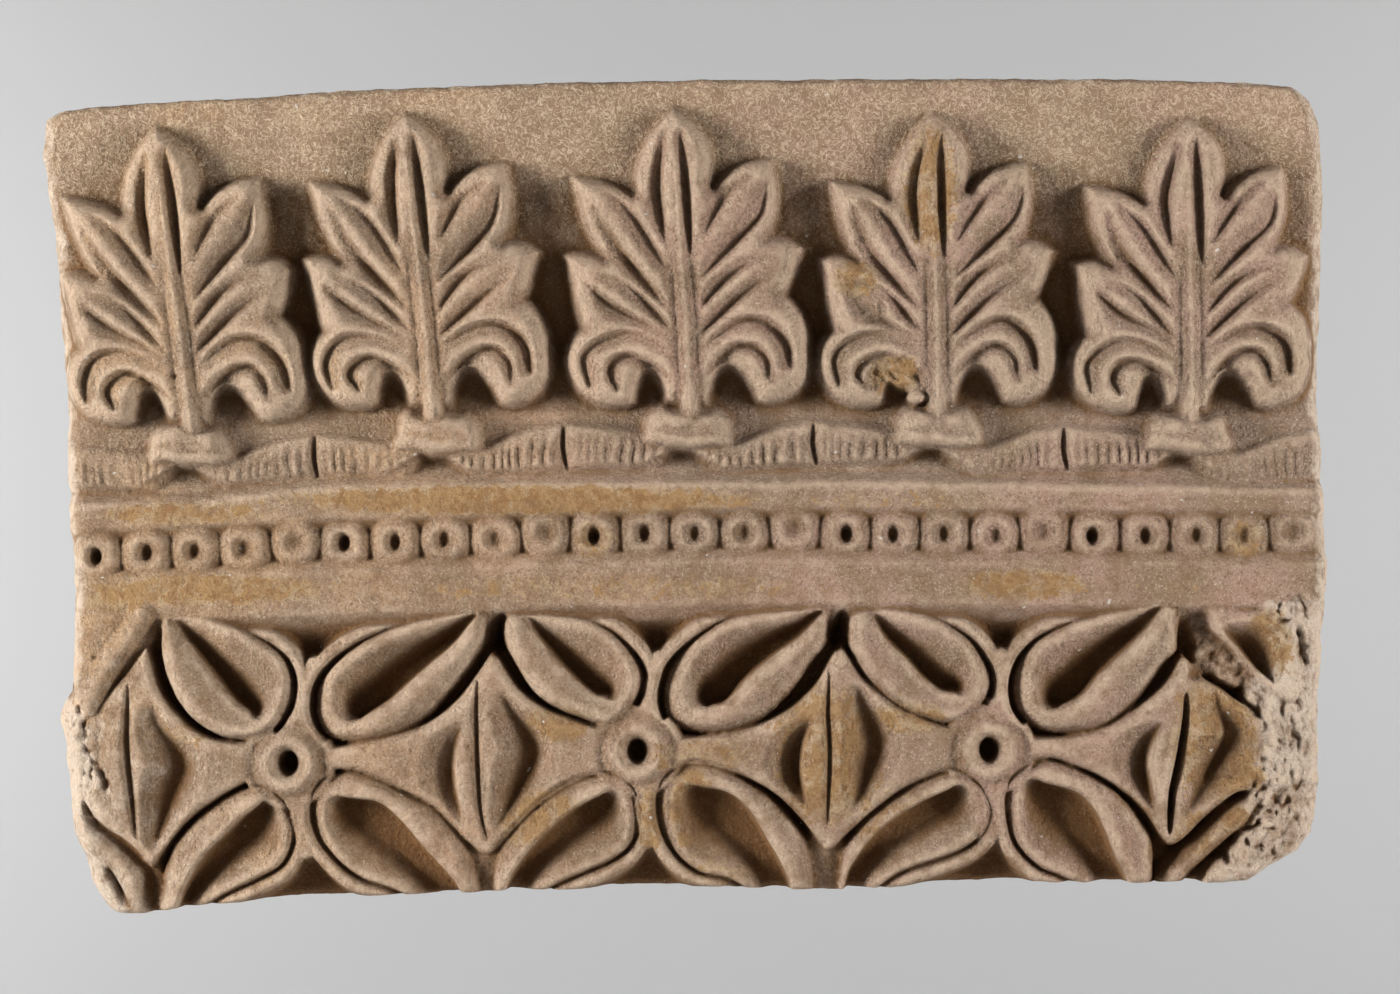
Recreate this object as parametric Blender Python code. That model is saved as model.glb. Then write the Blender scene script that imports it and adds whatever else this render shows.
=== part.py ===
"""A carved gypsum wall panel: palmettes on a knotted ribbon, a row of beads, a band of stars.

The panel is one solid slab of plaster. Its back is flat, at y = 0, and its carved front
faces -Y. The origin is on the back, in the middle, where the panel is fixed to a wall.
Seen from the front, x runs to the right and z runs up. All sizes are in metres.

The relief is worked out as one height above the back for every point of the face: each
ornament raises or cuts it in turn, in the order in which a carver would leave them. The
face is then thinned to the facets that its shape needs, and its rim runs back to the wall.
"""
import math

import bmesh
import bpy
import numpy as np

# Heights of the carving above the back.
GROUND_TOP = 0.0475
GROUND_LOW = 0.0385
LEAF_FACE = 0.0568
RIBBON_FACE = 0.0508
KNOT_FACE = 0.0572
UPPER_FILLET = 0.0560
BEAD_CHANNEL = 0.0510
BEAD_FACE = 0.0562
LOWER_FILLET = 0.0572
STAR_FLOOR = 0.0425
STAR_FACE = 0.0600
PETAL_RIM = 0.0618

# How finely the relief is worked out, how soft plaster edges are, and the facets kept.
GRID_STEP = 0.0013
SOFTNESS = 0.0006
FACETS_KEPT = 0.033

# Outline of the broken slab. The sides give x at a height z, the top and foot z at an x.
LEFT_SIDE = [(-0.196, -0.2650), (-0.181, -0.2765), (-0.158, -0.2869), (-0.134, -0.2907), (-0.105, -0.2931),
             (-0.072, -0.2888), (-0.044, -0.2879), (-0.001, -0.2916), (0.046, -0.2940), (0.084, -0.2978),
             (0.117, -0.2992), (0.141, -0.3025), (0.164, -0.3049), (0.179, -0.3039), (0.182, -0.3002)]
RIGHT_SIDE = [(-0.181, 0.2678), (-0.174, 0.2773), (-0.167, 0.2905), (-0.158, 0.2972), (-0.143, 0.3000),
              (-0.096, 0.3000), (-0.049, 0.3033), (-0.030, 0.3043), (0.008, 0.3019), (0.046, 0.3019),
              (0.093, 0.3033), (0.141, 0.3043), (0.178, 0.3019), (0.188, 0.2972), (0.194, 0.2915)]
TOP_SIDE = [(-0.300, 0.182), (-0.276, 0.185), (-0.206, 0.189), (-0.158, 0.1925), (-0.064, 0.196),
            (0.008, 0.1974), (0.150, 0.198), (0.220, 0.1975), (0.268, 0.196), (0.2915, 0.194)]
FOOT_SIDE = [(-0.265, -0.196), (-0.253, -0.196), (-0.229, -0.192), (-0.182, -0.189), (-0.087, -0.185),
             (0.008, -0.183), (0.069, -0.1845), (0.102, -0.183), (0.150, -0.181), (0.268, -0.181)]

# Palmettes: the middle of the foot (x, z), how far the tip leans in x, and the height.
PALMETTES = [(-0.2322, 0.0315, -0.0174, 0.1448), (-0.1185, 0.0399, -0.0136, 0.1434),
             (0.0028, 0.0409, -0.0080, 0.1448), (0.1194, 0.0409, -0.0024, 0.1424),
             (0.2387, 0.0385, -0.0009, 0.1424)]
# One half outline each, from the tip down: across, up, and the bow of the arc to the next
# corner, as shares of the palmette's height. The last arcs curl around the eye openings.
RIGHT_HALF = [(0.000, 1.000, 0.17), (0.117, 0.734, 0.12), (0.315, 0.828, 0.11), (0.289, 0.570, 0.10),
              (0.398, 0.530, 0.05), (0.336, 0.375, 0.13), (0.406, 0.211, 0.22), (0.266, 0.016, 0.05),
              (0.221, 0.030, -0.70), (0.058, 0.015, 0.0)]
LEFT_HALF = [(0.000, 1.000, -0.11), (-0.149, 0.712, -0.06), (-0.342, 0.762, -0.06), (-0.256, 0.500, -0.10),
             (-0.380, 0.505, 0.0), (-0.344, 0.266, -0.10), (-0.398, 0.162, -0.12), (-0.334, 0.035, -0.10),
             (-0.200, 0.010, 0.0), (-0.175, 0.026, 1.0), (-0.078, 0.026, 0.0)]
# Veins cut with a knife: outer end, inner end, bow, and shares of the usual width and depth.
VEIN_HALF = 0.0062
VEIN_DEPTH = 0.0068
VEINS = [(-0.037, 0.905, -0.058, 0.550, -0.04, 1.10, 1.20), (0.020, 0.910, 0.026, 0.520, 0.03, 0.85, 1.10),
         (0.232, 0.762, 0.048, 0.560, 0.02, 0.85, 0.80), (0.283, 0.735, 0.050, 0.445, 0.11, 1.05, 1.10),
         (0.215, 0.485, 0.050, 0.355, -0.10, 0.85, 0.90), (0.285, 0.445, 0.045, 0.262, -0.03, 0.95, 1.00),
         (0.055, 0.205, 0.345, 0.140, 0.376, 1.05, 1.10), (0.050, 0.105, 0.280, 0.097, 0.44, 0.95, 1.00),
         (-0.205, 0.665, -0.045, 0.460, 0.04, 0.90, 0.90), (-0.268, 0.680, -0.052, 0.350, -0.05, 1.10, 1.20),
         (-0.330, 0.440, -0.052, 0.268, 0.10, 1.00, 0.90), (-0.280, 0.388, -0.070, 0.250, 0.0, 0.90, 1.00),
         (-0.045, 0.160, -0.343, 0.110, -0.30, 0.95, 0.90), (-0.036, 0.075, -0.270, 0.075, -0.43, 0.95, 1.00),
         (-0.042, 0.600, -0.036, -0.02, 0.0, 0.60, 0.50), (0.036, 0.580, 0.038, -0.02, 0.0, 0.60, 0.50)]
# The eye openings under the curled side leaves: two ends of each, and the bow over them.
EYES = [((0.060, 0.0), (0.222, 0.0), 0.80), ((-0.178, 0.0), (-0.080, 0.0), 1.25)]

# Ribbon: each knot's hollow below it (x, z), and each seam between (x, top, foot of ribbon).
KNOTS = [(-0.2364, 0.0164), (-0.1194, 0.0226), (-0.0014, 0.0249), (0.1165, 0.0249), (0.2345, 0.0221)]
SEAMS = [(-0.2960, 0.0236, 0.0035), (-0.1744, 0.0282, 0.0095), (-0.0569, 0.0329, 0.0140),
         (0.0611, 0.0338, 0.0160), (0.1795, 0.0320, 0.0136), (0.2970, 0.0296, 0.0085)]
PLEAT_PITCH = 0.0056

# Edges of the two plain fillets, from the top one down, as (x, z).
UPPER_TOP = [(-0.303, -0.0042), (-0.235, -0.0033), (-0.192, 0.0024), (-0.159, 0.0052), (0.010, 0.0066),
             (0.102, 0.0066), (0.308, 0.0033)]
UPPER_FOOT = [(-0.303, -0.0174), (-0.180, -0.0113), (-0.091, -0.0085), (-0.002, -0.0056), (0.308, -0.0066)]
LOWER_TOP = [(-0.303, -0.0404), (-0.180, -0.0343), (-0.091, -0.0310), (0.003, -0.0282), (0.308, -0.0301)]
LOWER_FOOT = [(-0.303, -0.0602), (-0.180, -0.0564), (-0.091, -0.0526), (0.003, -0.0508), (0.308, -0.0517)]

# Beads: five to a palmette, drilled less deeply along each five; the fifth stands higher.
BEAD_COUNT = 25
BEAD_START = -0.2768
BEAD_PITCH = 0.0235
BEAD_HALF_WIDTH = 0.0110
BEAD_HALF_HEIGHT = 0.0100
BEAD_HOLES = (0.0066, 0.0053, 0.0042, 0.0026, 0.0018)
FIFTH_BEAD_LIFT = 0.0016

# The band of stars: ring centres between the stars, and where petals meet above and below.
RINGS = [(-0.1861, -0.1250), (-0.0221, -0.1194), (0.1433, -0.1189)]
MEET_TOP = [(-0.2538, -0.0578), (-0.0856, -0.0536), (0.0747, -0.0522), (0.2340, -0.0512)]
MEET_FOOT = [(-0.2510, -0.1932), (-0.0940, -0.1847), (0.0658, -0.1828), (0.2190, -0.1809)]
# Where the upright of each ring forks into the bands over and under the petals, the bands'
# half width, and the narrow gap between a band and its petal.
FORK_TOP = [(-0.1739, -0.0743), (-0.0104, -0.0705), (0.1523, -0.0677)]
FORK_FOOT = [(-0.1777, -0.1716), (-0.0183, -0.1664), (0.1400, -0.1603)]
BAND_HALF = 0.0029
BAND_GAP = 0.0028
RING_CREST = 0.0100
RING_OUTER = 0.0160
RING_HOLE = (0.0043, 0.0055)
# Stars: top and foot points, the widest points of the leaf inside, the slit down it and its
# half width, and how deep the valleys left and right of the leaf are.
STARS = [((-0.2538, -0.0752), (-0.2510, -0.1748), (-0.2790, -0.1330), (-0.2374, -0.1274),
          [(-0.2600, -0.0879), (-0.2613, -0.1189), (-0.2585, -0.1650)], 0.0026, 0.0040, 0.0150),
         ((-0.0893, -0.0743), (-0.0903, -0.1664), (-0.1109, -0.1269), (-0.0724, -0.1208),
          [(-0.0959, -0.0860), (-0.0968, -0.1194), (-0.0931, -0.1626)], 0.0024, 0.0150, 0.0150),
         ((0.0738, -0.0700), (0.0658, -0.1645), (0.0531, -0.1274), (0.0916, -0.1189),
          [(0.0691, -0.0804), (0.0681, -0.1189), (0.0667, -0.1575)], 0.0024, 0.0150, 0.0150),
         ((0.2364, -0.0785), (0.2270, -0.1621), (0.2185, -0.1236), (0.2528, -0.1152),
          [(0.2359, -0.0930), (0.2345, -0.1166), (0.2284, -0.1575)], 0.0040, 0.0130, 0.0120)]
# The arms of the outermost stars run on past the broken sides to these points.
LAST_LEFT = (-0.3497, -0.1260)
LAST_RIGHT = (0.3060, -0.1189)
ARM_HALF = 0.0072
# Four kinds of petal. star and outer: greatest half widths on the star's side and the other;
# side: which side of tip-to-ring the star is on; fattest: where along the petal; fine and
# blunt: how its two ends close; bar: half width of the ridge on the star's side; lip: width
# of the outer rim; dish: depth of the dish beside the bar; start, reach: where it begins and
# ends along the petal.
PETALS = {
    "upper right": dict(star=0.0221, outer=0.0221, side=-1, fattest=0.56, fine=0.50, blunt=0.45,
                        bar=0.0031, lip=0.0030, dish=0.0230, start=0.02, reach=0.86),
    "upper left": dict(star=0.0216, outer=0.0235, side=1, fattest=0.64, fine=0.80, blunt=0.45,
                       bar=0.0062, lip=0.0030, dish=0.0300, start=0.02, reach=0.88),
    "lower right": dict(star=0.0197, outer=0.0202, side=1, fattest=0.60, fine=0.55, blunt=0.45,
                        bar=0.0036, lip=0.0036, dish=0.0170, start=-0.05, reach=0.88),
    "lower left": dict(star=0.0188, outer=0.0216, side=-1, fattest=0.60, fine=0.60, blunt=0.42,
                       bar=0.0046, lip=0.0036, dish=0.0170, start=-0.08, reach=0.92),
    "broken right": dict(star=0.0100, outer=0.0220, side=-1, fattest=0.55, fine=0.60, blunt=0.50,
                         bar=0.0020, lip=0.0060, dish=0.0200, start=0.10, reach=0.84),
}


def smooth(value, low, high):
    """0 up to low, 1 from high on, with a soft curve between."""
    t = np.clip((value - low) / (high - low), 0, 1)
    return t * t * (3 - 2 * t)


def arc(start, end, bow, steps=8):
    """Points of a shallow arc, without its end; a positive bow swings to the left of travel."""
    start, end = np.asarray(start, float), np.asarray(end, float)
    s = np.linspace(0, 1, steps, endpoint=False)[:, None]
    chord = end - start
    left = np.array([-chord[1], chord[0]])
    return start + s * chord + 4 * bow * s * (1 - s) * left


def arcs(nodes, steps=8):
    """A chain of arcs through nodes of (x, z, bow to the next)."""
    runs = [arc(a[:2], b[:2], a[2], steps) for a, b in zip(nodes, nodes[1:])]
    return np.concatenate(runs + [[nodes[-1][:2]]])


def noise(x, z, cell, seed):
    """Soft irregular values between -1 and 1, changing over about one cell."""
    size = 96
    table = np.random.default_rng(seed).random((size, size)) * 2 - 1
    u, v = x / cell + size / 2, z / cell + size / 2
    i, j = np.floor(u).astype(int), np.floor(v).astype(int)
    u, v = smooth(u - i, 0, 1), smooth(v - j, 0, 1)
    near = table[i % size, j % size] * (1 - u) + table[(i + 1) % size, j % size] * u
    far = table[i % size, (j + 1) % size] * (1 - u) + table[(i + 1) % size, (j + 1) % size] * u
    return near * (1 - v) + far * v


def rounded_box(centre, half_width, half_height, power=0.7):
    """Outline between an ellipse (power 1) and a rectangle (power 0)."""
    turn = np.linspace(0, 2 * math.pi, 28, endpoint=False)
    c, s = np.cos(turn), np.sin(turn)
    x = centre[0] + half_width * np.sign(c) * np.abs(c) ** power
    z = centre[1] + half_height * np.sign(s) * np.abs(s) ** power
    return np.stack([x, z], -1)


class Face:
    """The height of the carving above the back, on a regular grid of points."""

    def __init__(self, step):
        self.step = step
        self.across = np.arange(-0.310, 0.311, step)
        self.up = np.arange(-0.202, 0.203, step)
        self.x, self.z = np.meshgrid(self.across, self.up)
        self.height = np.zeros_like(self.x)

    def near(self, points, margin):
        """The block of the grid around some points."""
        points = np.asarray(points)
        low, high = points.min(0) - margin, points.max(0) + margin
        columns = slice(*np.searchsorted(self.across, (low[0], high[0])))
        rows = slice(*np.searchsorted(self.up, (low[1], high[1])))
        return rows, columns

    def beside(self, points, block):
        """Distance from a line of points, and how far along it the nearest place is."""
        x, z = self.x[block], self.z[block]
        best = np.full(x.shape, np.inf)
        place = np.zeros(x.shape)
        run = np.concatenate([[0], np.cumsum(np.hypot(*np.diff(points, axis=0).T))])
        for k, ((ax, az), (bx, bz)) in enumerate(zip(points, points[1:])):
            ex, ez = bx - ax, bz - az
            t = np.clip(((x - ax) * ex + (z - az) * ez) / max(ex * ex + ez * ez, 1e-18), 0, 1)
            gap = (x - ax - t * ex) ** 2 + (z - az - t * ez) ** 2
            closer = gap < best
            best[closer] = gap[closer]
            place[closer] = (run[k] + t * (run[k + 1] - run[k]))[closer]
        return np.sqrt(best), place / run[-1]

    def inside(self, outline, block):
        """Distance in from a closed outline, negative outside it."""
        x, z = self.x[block], self.z[block]
        gap, _ = self.beside(np.concatenate([outline, outline[:1]]), block)
        within = np.zeros(x.shape, bool)
        for (ax, az), (bx, bz) in zip(outline, np.roll(outline, -1, 0)):
            if az != bz:
                within ^= ((az > z) != (bz > z)) & (x < (bx - ax) * (z - az) / (bz - az) + ax)
        return np.where(within, gap, -gap)

    def fill(self, block, height):
        """Raise the face to a height where it lies lower."""
        self.height[block] = np.maximum(self.height[block], height)

    def raised(self, outline, crest, edge, fall, wall):
        """A flat-topped form whose edge rounds off by fall over edge, then drops steeply."""
        block = self.near(outline, 0.012)
        depth = self.inside(outline, block)
        top = crest - fall * (1 - np.clip(depth / edge, 0, 1)) ** 2
        self.fill(block, np.where(depth > 0, top, crest - fall + depth * wall))

    def ridge(self, points, half, crest, fall=0.0014, wall=5.0):
        """A rounded ridge along a line of points."""
        block = self.near(points, 0.012)
        gap, _ = self.beside(points, block)
        top = crest - fall * np.clip(gap / half, 0, 1) ** 2
        self.fill(block, np.where(gap < half, top, crest - fall - (gap - half) * wall))

    def groove(self, points, half, depth, blunt=0.5, flank=0.0):
        """A knife cut that narrows to its ends, with softly sloping flanks beside it."""
        block = self.near(points, half * 2.6)
        gap, place = self.beside(points, block)
        taper = np.sin(math.pi * np.clip(place, 0.001, 0.999)) ** blunt
        core = np.clip(1 - gap / (half * (0.35 + 0.65 * taper)), 0, 1) ** 1.4
        slope = smooth(1 - gap / (half * 2.5), 0, 1)
        self.height[block] -= depth * taper * core + flank * taper * slope

    def mound(self, centre, half_width, half_height, crest, base):
        """A soft lump standing from base to crest."""
        block = self.near([centre], max(half_width, half_height) + 0.002)
        x, z = self.x[block] - centre[0], self.z[block] - centre[1]
        round_off = np.clip(1 - (x / half_width) ** 2 - (z / half_height) ** 2, 0, 1)
        self.fill(block, np.where(round_off > 0, base + (crest - base) * round_off ** 0.45, 0))

    def pit(self, centre, half_width, half_height, depth):
        """A round or oval hole with a funnelled mouth."""
        block = self.near([centre], 2 * max(half_width, half_height))
        x, z = self.x[block] - centre[0], self.z[block] - centre[1]
        self.height[block] -= depth * smooth(1.3 - np.hypot(x / half_width, z / half_height), 0, 0.6)

    def broken(self, outline, level, lift, roughness, fade, seed, tilt=0.0):
        """A broken patch: rough plaster about a tilted plane, fading into the carving."""
        outline = np.asarray(outline)
        block = self.near(outline, 0)
        x, z = self.x[block], self.z[block]
        lumps = noise(x, z, 0.012, seed) + 0.5 * noise(x, z, 0.0057, seed + 1)
        plane = level + tilt * (x - outline[:, 0].mean()) + lift * (z - outline[:, 1].mean())
        share = smooth(self.inside(outline, block), 0, fade)
        self.height[block] += share * (plane + roughness * lumps - self.height[block])

    def soften(self, reach):
        """Round every edge a little, as cast and carved plaster is."""
        count = int(3 * reach / self.step) + 1
        weight = np.exp(-0.5 * (np.arange(-count, count + 1) * self.step / reach) ** 2)
        weight /= weight.sum()
        rows, columns = self.height.shape
        padded = np.pad(self.height, count, mode="edge")
        padded = sum(w * padded[:, k:k + columns] for k, w in enumerate(weight))
        self.height = sum(w * padded[k:k + rows] for k, w in enumerate(weight))

    def sample(self, x, z):
        """Heights read between the grid's points."""
        u = np.clip((x - self.across[0]) / self.step, 0, len(self.across) - 1.001)
        v = np.clip((z - self.up[0]) / self.step, 0, len(self.up) - 1.001)
        i, j = u.astype(int), v.astype(int)
        u, v = u - i, v - j
        h = self.height
        low = h[j, i] * (1 - u) + h[j, i + 1] * u
        high = h[j + 1, i] * (1 - u) + h[j + 1, i + 1] * u
        return low * (1 - v) + high * v


def line(points, x):
    """z of a line of (x, z) points at x."""
    return np.interp(x, *np.transpose(points))


def ground(face):
    """The field behind the palmettes: proud along the top, dug deepest between the leaves."""
    heights = [(-0.02, GROUND_TOP), (0.027, 0.0465), (0.050, GROUND_LOW), (0.093, 0.0400), (0.140, 0.0425),
               (0.182, 0.0465), (0.201, GROUND_TOP)]
    face.height[:] = line(heights, face.z)
    for left, right in zip(PALMETTES, PALMETTES[1:]):
        x = (left[0] + left[2] / 2 + right[0] + right[2] / 2) / 2
        face.height -= 0.0035 * np.exp(-((face.x - x) / 0.0075) ** 2 - ((face.z - 0.0715) / 0.024) ** 2)


def palmette(face, foot_x, foot_z, lean, tall, seed):
    """One leaf of seven lobes with a ridged stem, knife-cut veins and curled side leaves."""
    hand = np.random.default_rng(seed)

    def place(points):
        points = np.asarray(points, float)
        up = points[..., 1]
        return np.stack([foot_x + lean * up + tall * points[..., 0], foot_z + tall * up], -1)

    outline = place(np.concatenate([arcs(RIGHT_HALF), arcs(LEFT_HALF)[::-1][:-1]]))
    block = face.near(outline, 0.03)
    depth = face.inside(outline, block)
    face.height[block] -= 0.0035 * np.exp(np.minimum(depth, 0) / 0.008) * (depth < 0)
    # The outline is the foot of the leaf's side, which leans in to the face.
    depth = depth - 0.0036
    top = LEAF_FACE - 0.0034 * (1 - np.clip(depth / 0.0060, 0, 1)) ** 2
    face.fill(block, np.where(depth > 0, top, LEAF_FACE - 0.0034 + depth * 2.5))
    for outer_u, outer_v, inner_u, inner_v, bow, width, deep in VEINS:
        slip = hand.normal(0, 0.004, 4)
        outer = place((outer_u + slip[0], outer_v + slip[1]))
        inner = place((inner_u + slip[2] / 2, inner_v + slip[3]))
        vein = np.concatenate([arc(outer, inner, bow, 12), [inner]])
        face.groove(vein, VEIN_HALF / 2 * width, VEIN_DEPTH * deep * 0.85, 0.6, 0.0016 * width)
    for start, end, bow in EYES:
        mouth = [end, (end[0], -0.03), (start[0], -0.03)]
        eye = place(np.concatenate([arc(start, end, bow, 14), mouth]))
        block = face.near(eye, 0.004)
        depth = face.inside(eye, block)
        floor = 0.0445 - 0.008 * smooth((face.z[block] - foot_z) / tall, -0.02, 0.09)
        cut = np.maximum(floor, LEAF_FACE - 0.0015 - (depth + 0.0012) * 7)
        opened = np.minimum(face.height[block], cut)
        face.height[block] = np.where(depth > -0.0012, opened, face.height[block])


def ribbon_edges(x):
    """Top and foot of the ribbon: it rises from each knot to a seam and sags beyond it."""
    top, foot = [], []
    for k, (seam_x, seam_top, seam_foot) in enumerate(SEAMS):
        if k > 0:
            knot_x, knot_z = KNOTS[k - 1]
            top += [(knot_x + 0.026, seam_top - 0.0095), (seam_x - 0.016, seam_top - 0.0022)]
            foot += [(knot_x, knot_z), (knot_x + 0.020, seam_foot - 0.0035)]
        top.append((seam_x, seam_top))
        foot.append((seam_x, seam_foot))
        if k < len(KNOTS):
            knot_x, knot_z = KNOTS[k]
            top.append((knot_x - 0.014, seam_top - 0.0036))
            foot.append((knot_x - 0.013, seam_foot + 0.001))
    return line(top, x), line(foot, x)


def ribbon(face):
    """A flat ribbon of short pleats, cut through by a seam half-way between the knots."""
    top, foot = ribbon_edges(face.x)
    depth = np.minimum(top - face.z, face.z - foot)
    body = RIBBON_FACE - 0.0012 * (1 - np.clip(depth / 0.004, 0, 1)) ** 2
    count = face.x / PLEAT_PITCH + 0.5 * noise(face.x, 0 * face.x, 0.02, 4)
    count += 0.12 * noise(face.x, face.z, 0.006, 5)
    pleat = smooth(1 - np.abs(count - np.round(count)) / 0.24, 0, 1)
    body -= 0.0010 * pleat * smooth(depth, 0.0005, 0.005) * (0.6 + 0.4 * noise(face.x, 0 * face.x, 0.011, 6))
    wall = np.where(face.z > top, 2.2, 1.5)
    body = np.where(depth > 0, body, RIBBON_FACE - 0.0012 + depth * wall)
    face.height = np.where(depth > -0.012, np.maximum(face.height, body), face.height)
    for x, seam_top, seam_foot in SEAMS[1:-1]:
        seam = np.array([(x, seam_top + 0.001), (x + 0.0014, seam_foot - 0.001)])
        face.groove(seam, 0.0019, 0.0065, 0.35)


def knot(face, x, z):
    """The knot at a palmette's foot, two soft lumps over a dark little hollow."""
    face.mound((x + 0.0035, z + 0.0075), 0.0195, 0.0080, KNOT_FACE - 0.0012, RIBBON_FACE - 0.003)
    face.mound((x - 0.0045, z + 0.0092), 0.0115, 0.0085, KNOT_FACE, RIBBON_FACE - 0.003)
    face.mound((x + 0.0125, z + 0.0060), 0.0100, 0.0098, KNOT_FACE - 0.0006, RIBBON_FACE - 0.003)
    block = face.near([(x - 0.018, z - 0.016), (x + 0.020, z + 0.003)], 0)
    down = z - face.z[block]
    half = 0.003 + 1.25 * np.clip(down, 0, 0.02)
    hollow = np.clip(1 - np.abs(face.x[block] - x) / half, 0, 1) * smooth(down, -0.001, 0.002)
    face.height[block] -= 0.0080 * smooth(hollow * (1 - smooth(down, 0.005, 0.016)), 0, 0.7)


def fillet(face, top, foot, crest, bank):
    """Height of a plain fillet with rounded arrises and a bank on either side."""
    depth = np.minimum(line(top, face.x) - face.z, face.z - line(foot, face.x))
    return crest - 0.0009 * (1 - np.clip(depth / 0.003, 0, 1)) ** 2 + bank * np.minimum(depth, 0)


def fillets(face):
    """Two plain fillets with the bead channel between, then the drop to the stars' floor."""
    below_upper, below_lower = face.z < line(UPPER_FOOT, face.x), face.z < line(LOWER_FOOT, face.x)
    face.height[below_upper] = BEAD_CHANNEL
    face.height = np.maximum(face.height, fillet(face, UPPER_TOP, UPPER_FOOT, UPPER_FILLET, 1.5))
    lower = fillet(face, LOWER_TOP, LOWER_FOOT, LOWER_FILLET, 0.95)
    face.height = np.maximum(face.height, lower)
    face.height[below_lower] = np.maximum(STAR_FLOOR, lower[below_lower])


def beads(face):
    """Rounded square beads, dished and drilled, in the channel between the fillets."""
    hand = np.random.default_rng(7)
    for k in range(BEAD_COUNT):
        x = BEAD_START + BEAD_PITCH * k + hand.normal(0, 0.0003)
        z = (line(UPPER_FOOT, x) + line(LOWER_TOP, x)) / 2 + FIFTH_BEAD_LIFT * (k % 5 == 4)
        face.raised(rounded_box((x, z), BEAD_HALF_WIDTH, BEAD_HALF_HEIGHT), BEAD_FACE, 0.0035, 0.0018, 4.0)
        face.pit((x, z), 0.0090, 0.0085, 0.0013)
        face.pit((x, z), 0.0034, 0.0046, BEAD_HOLES[k % 5])


def petal_width(s, fattest, fine, blunt):
    """Half width along a petal: 0 at the tip and the ring end, 1 where it is fattest."""
    u = np.clip(s, 1e-6, 1) ** (math.log(0.5) / math.log(fattest))
    return np.sin(math.pi * np.clip(u, 0, 1)) ** np.where(s < fattest, fine, blunt)


def petal(face, tip, end, star, outer, side, fattest, fine, blunt, bar, lip, dish, start, reach):
    """A petal with a thick bar along the star's side, its outer half dished down to the bar."""
    tip, end = np.asarray(tip), np.asarray(end)
    length = np.hypot(*(end - tip))
    ahead = (end - tip) / length
    across = np.array([-ahead[1], ahead[0]]) * side
    s = (1 - np.cos(np.linspace(0, math.pi, 22))) / 2
    width = petal_width(s, fattest, fine, blunt)
    middle = tip + np.outer(s * length, ahead)
    star_edge = middle + np.outer(width * star, across)
    outer_edge = middle - np.outer(width * outer, across)
    outline = np.concatenate([star_edge, outer_edge[::-1][1:-1]])
    run = np.gradient(outer_edge, axis=0)
    outward = np.stack([run[:, 1], -run[:, 0]], -1) / np.hypot(*run.T)[:, None] * side
    band = (outer_edge + outward * (BAND_GAP + BAND_HALF))[4:-2]
    band = band[band[:, 1] < line(LOWER_FOOT, band[:, 0]) - 0.0015]
    face.ridge(band, BAND_HALF, STAR_FACE - 0.0012, 0.0012)
    s = np.linspace(0.0, 0.93, 16)
    half = bar * (0.62 + 0.38 * smooth(s, 0.0, 0.6))
    inset = np.maximum(petal_width(s, fattest, fine, blunt) * star - half, 0)
    path = tip + np.outer(s * length, ahead) + np.outer(inset, across)
    block = face.near(outline, 0.006)
    depth = face.inside(outline, block)
    rim_gap, _ = face.beside(outer_edge, block)
    gap, place = face.beside(path, block)
    half = np.interp(place, np.linspace(0, 1, 16), half)
    along = ((face.x[block] - tip[0]) * ahead[0] + (face.z[block] - tip[1]) * ahead[1]) / length
    # The dish drops steeply off the bar and climbs slowly to the outer rim.
    off_bar = np.maximum(gap - half, 0)
    on_rim = np.maximum(rim_gap - lip, 0)
    fall = (on_rim / (on_rim + off_bar + 1e-6)) ** 1.3 * smooth(off_bar, 0, 0.0028)
    fall *= smooth(along, start - 0.06, start + 0.12) * (1 - smooth(along, reach - 0.12, reach + 0.06))
    rim = PETAL_RIM - 0.0022 * (1 - np.clip(depth / 0.0042, 0, 1)) ** 2
    face.fill(block, np.where(depth > 0, rim - dish * fall, PETAL_RIM - 0.0022 + depth * 6))
    crest = PETAL_RIM - 0.0035 * smooth(place, 0.88, 1.0)
    ridge = crest - 0.0019 * np.clip(gap / half, 0, 1) ** 2.2
    face.fill(block, np.where(gap < half, ridge, crest - 0.0019 - (gap - half) * 6))


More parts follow.
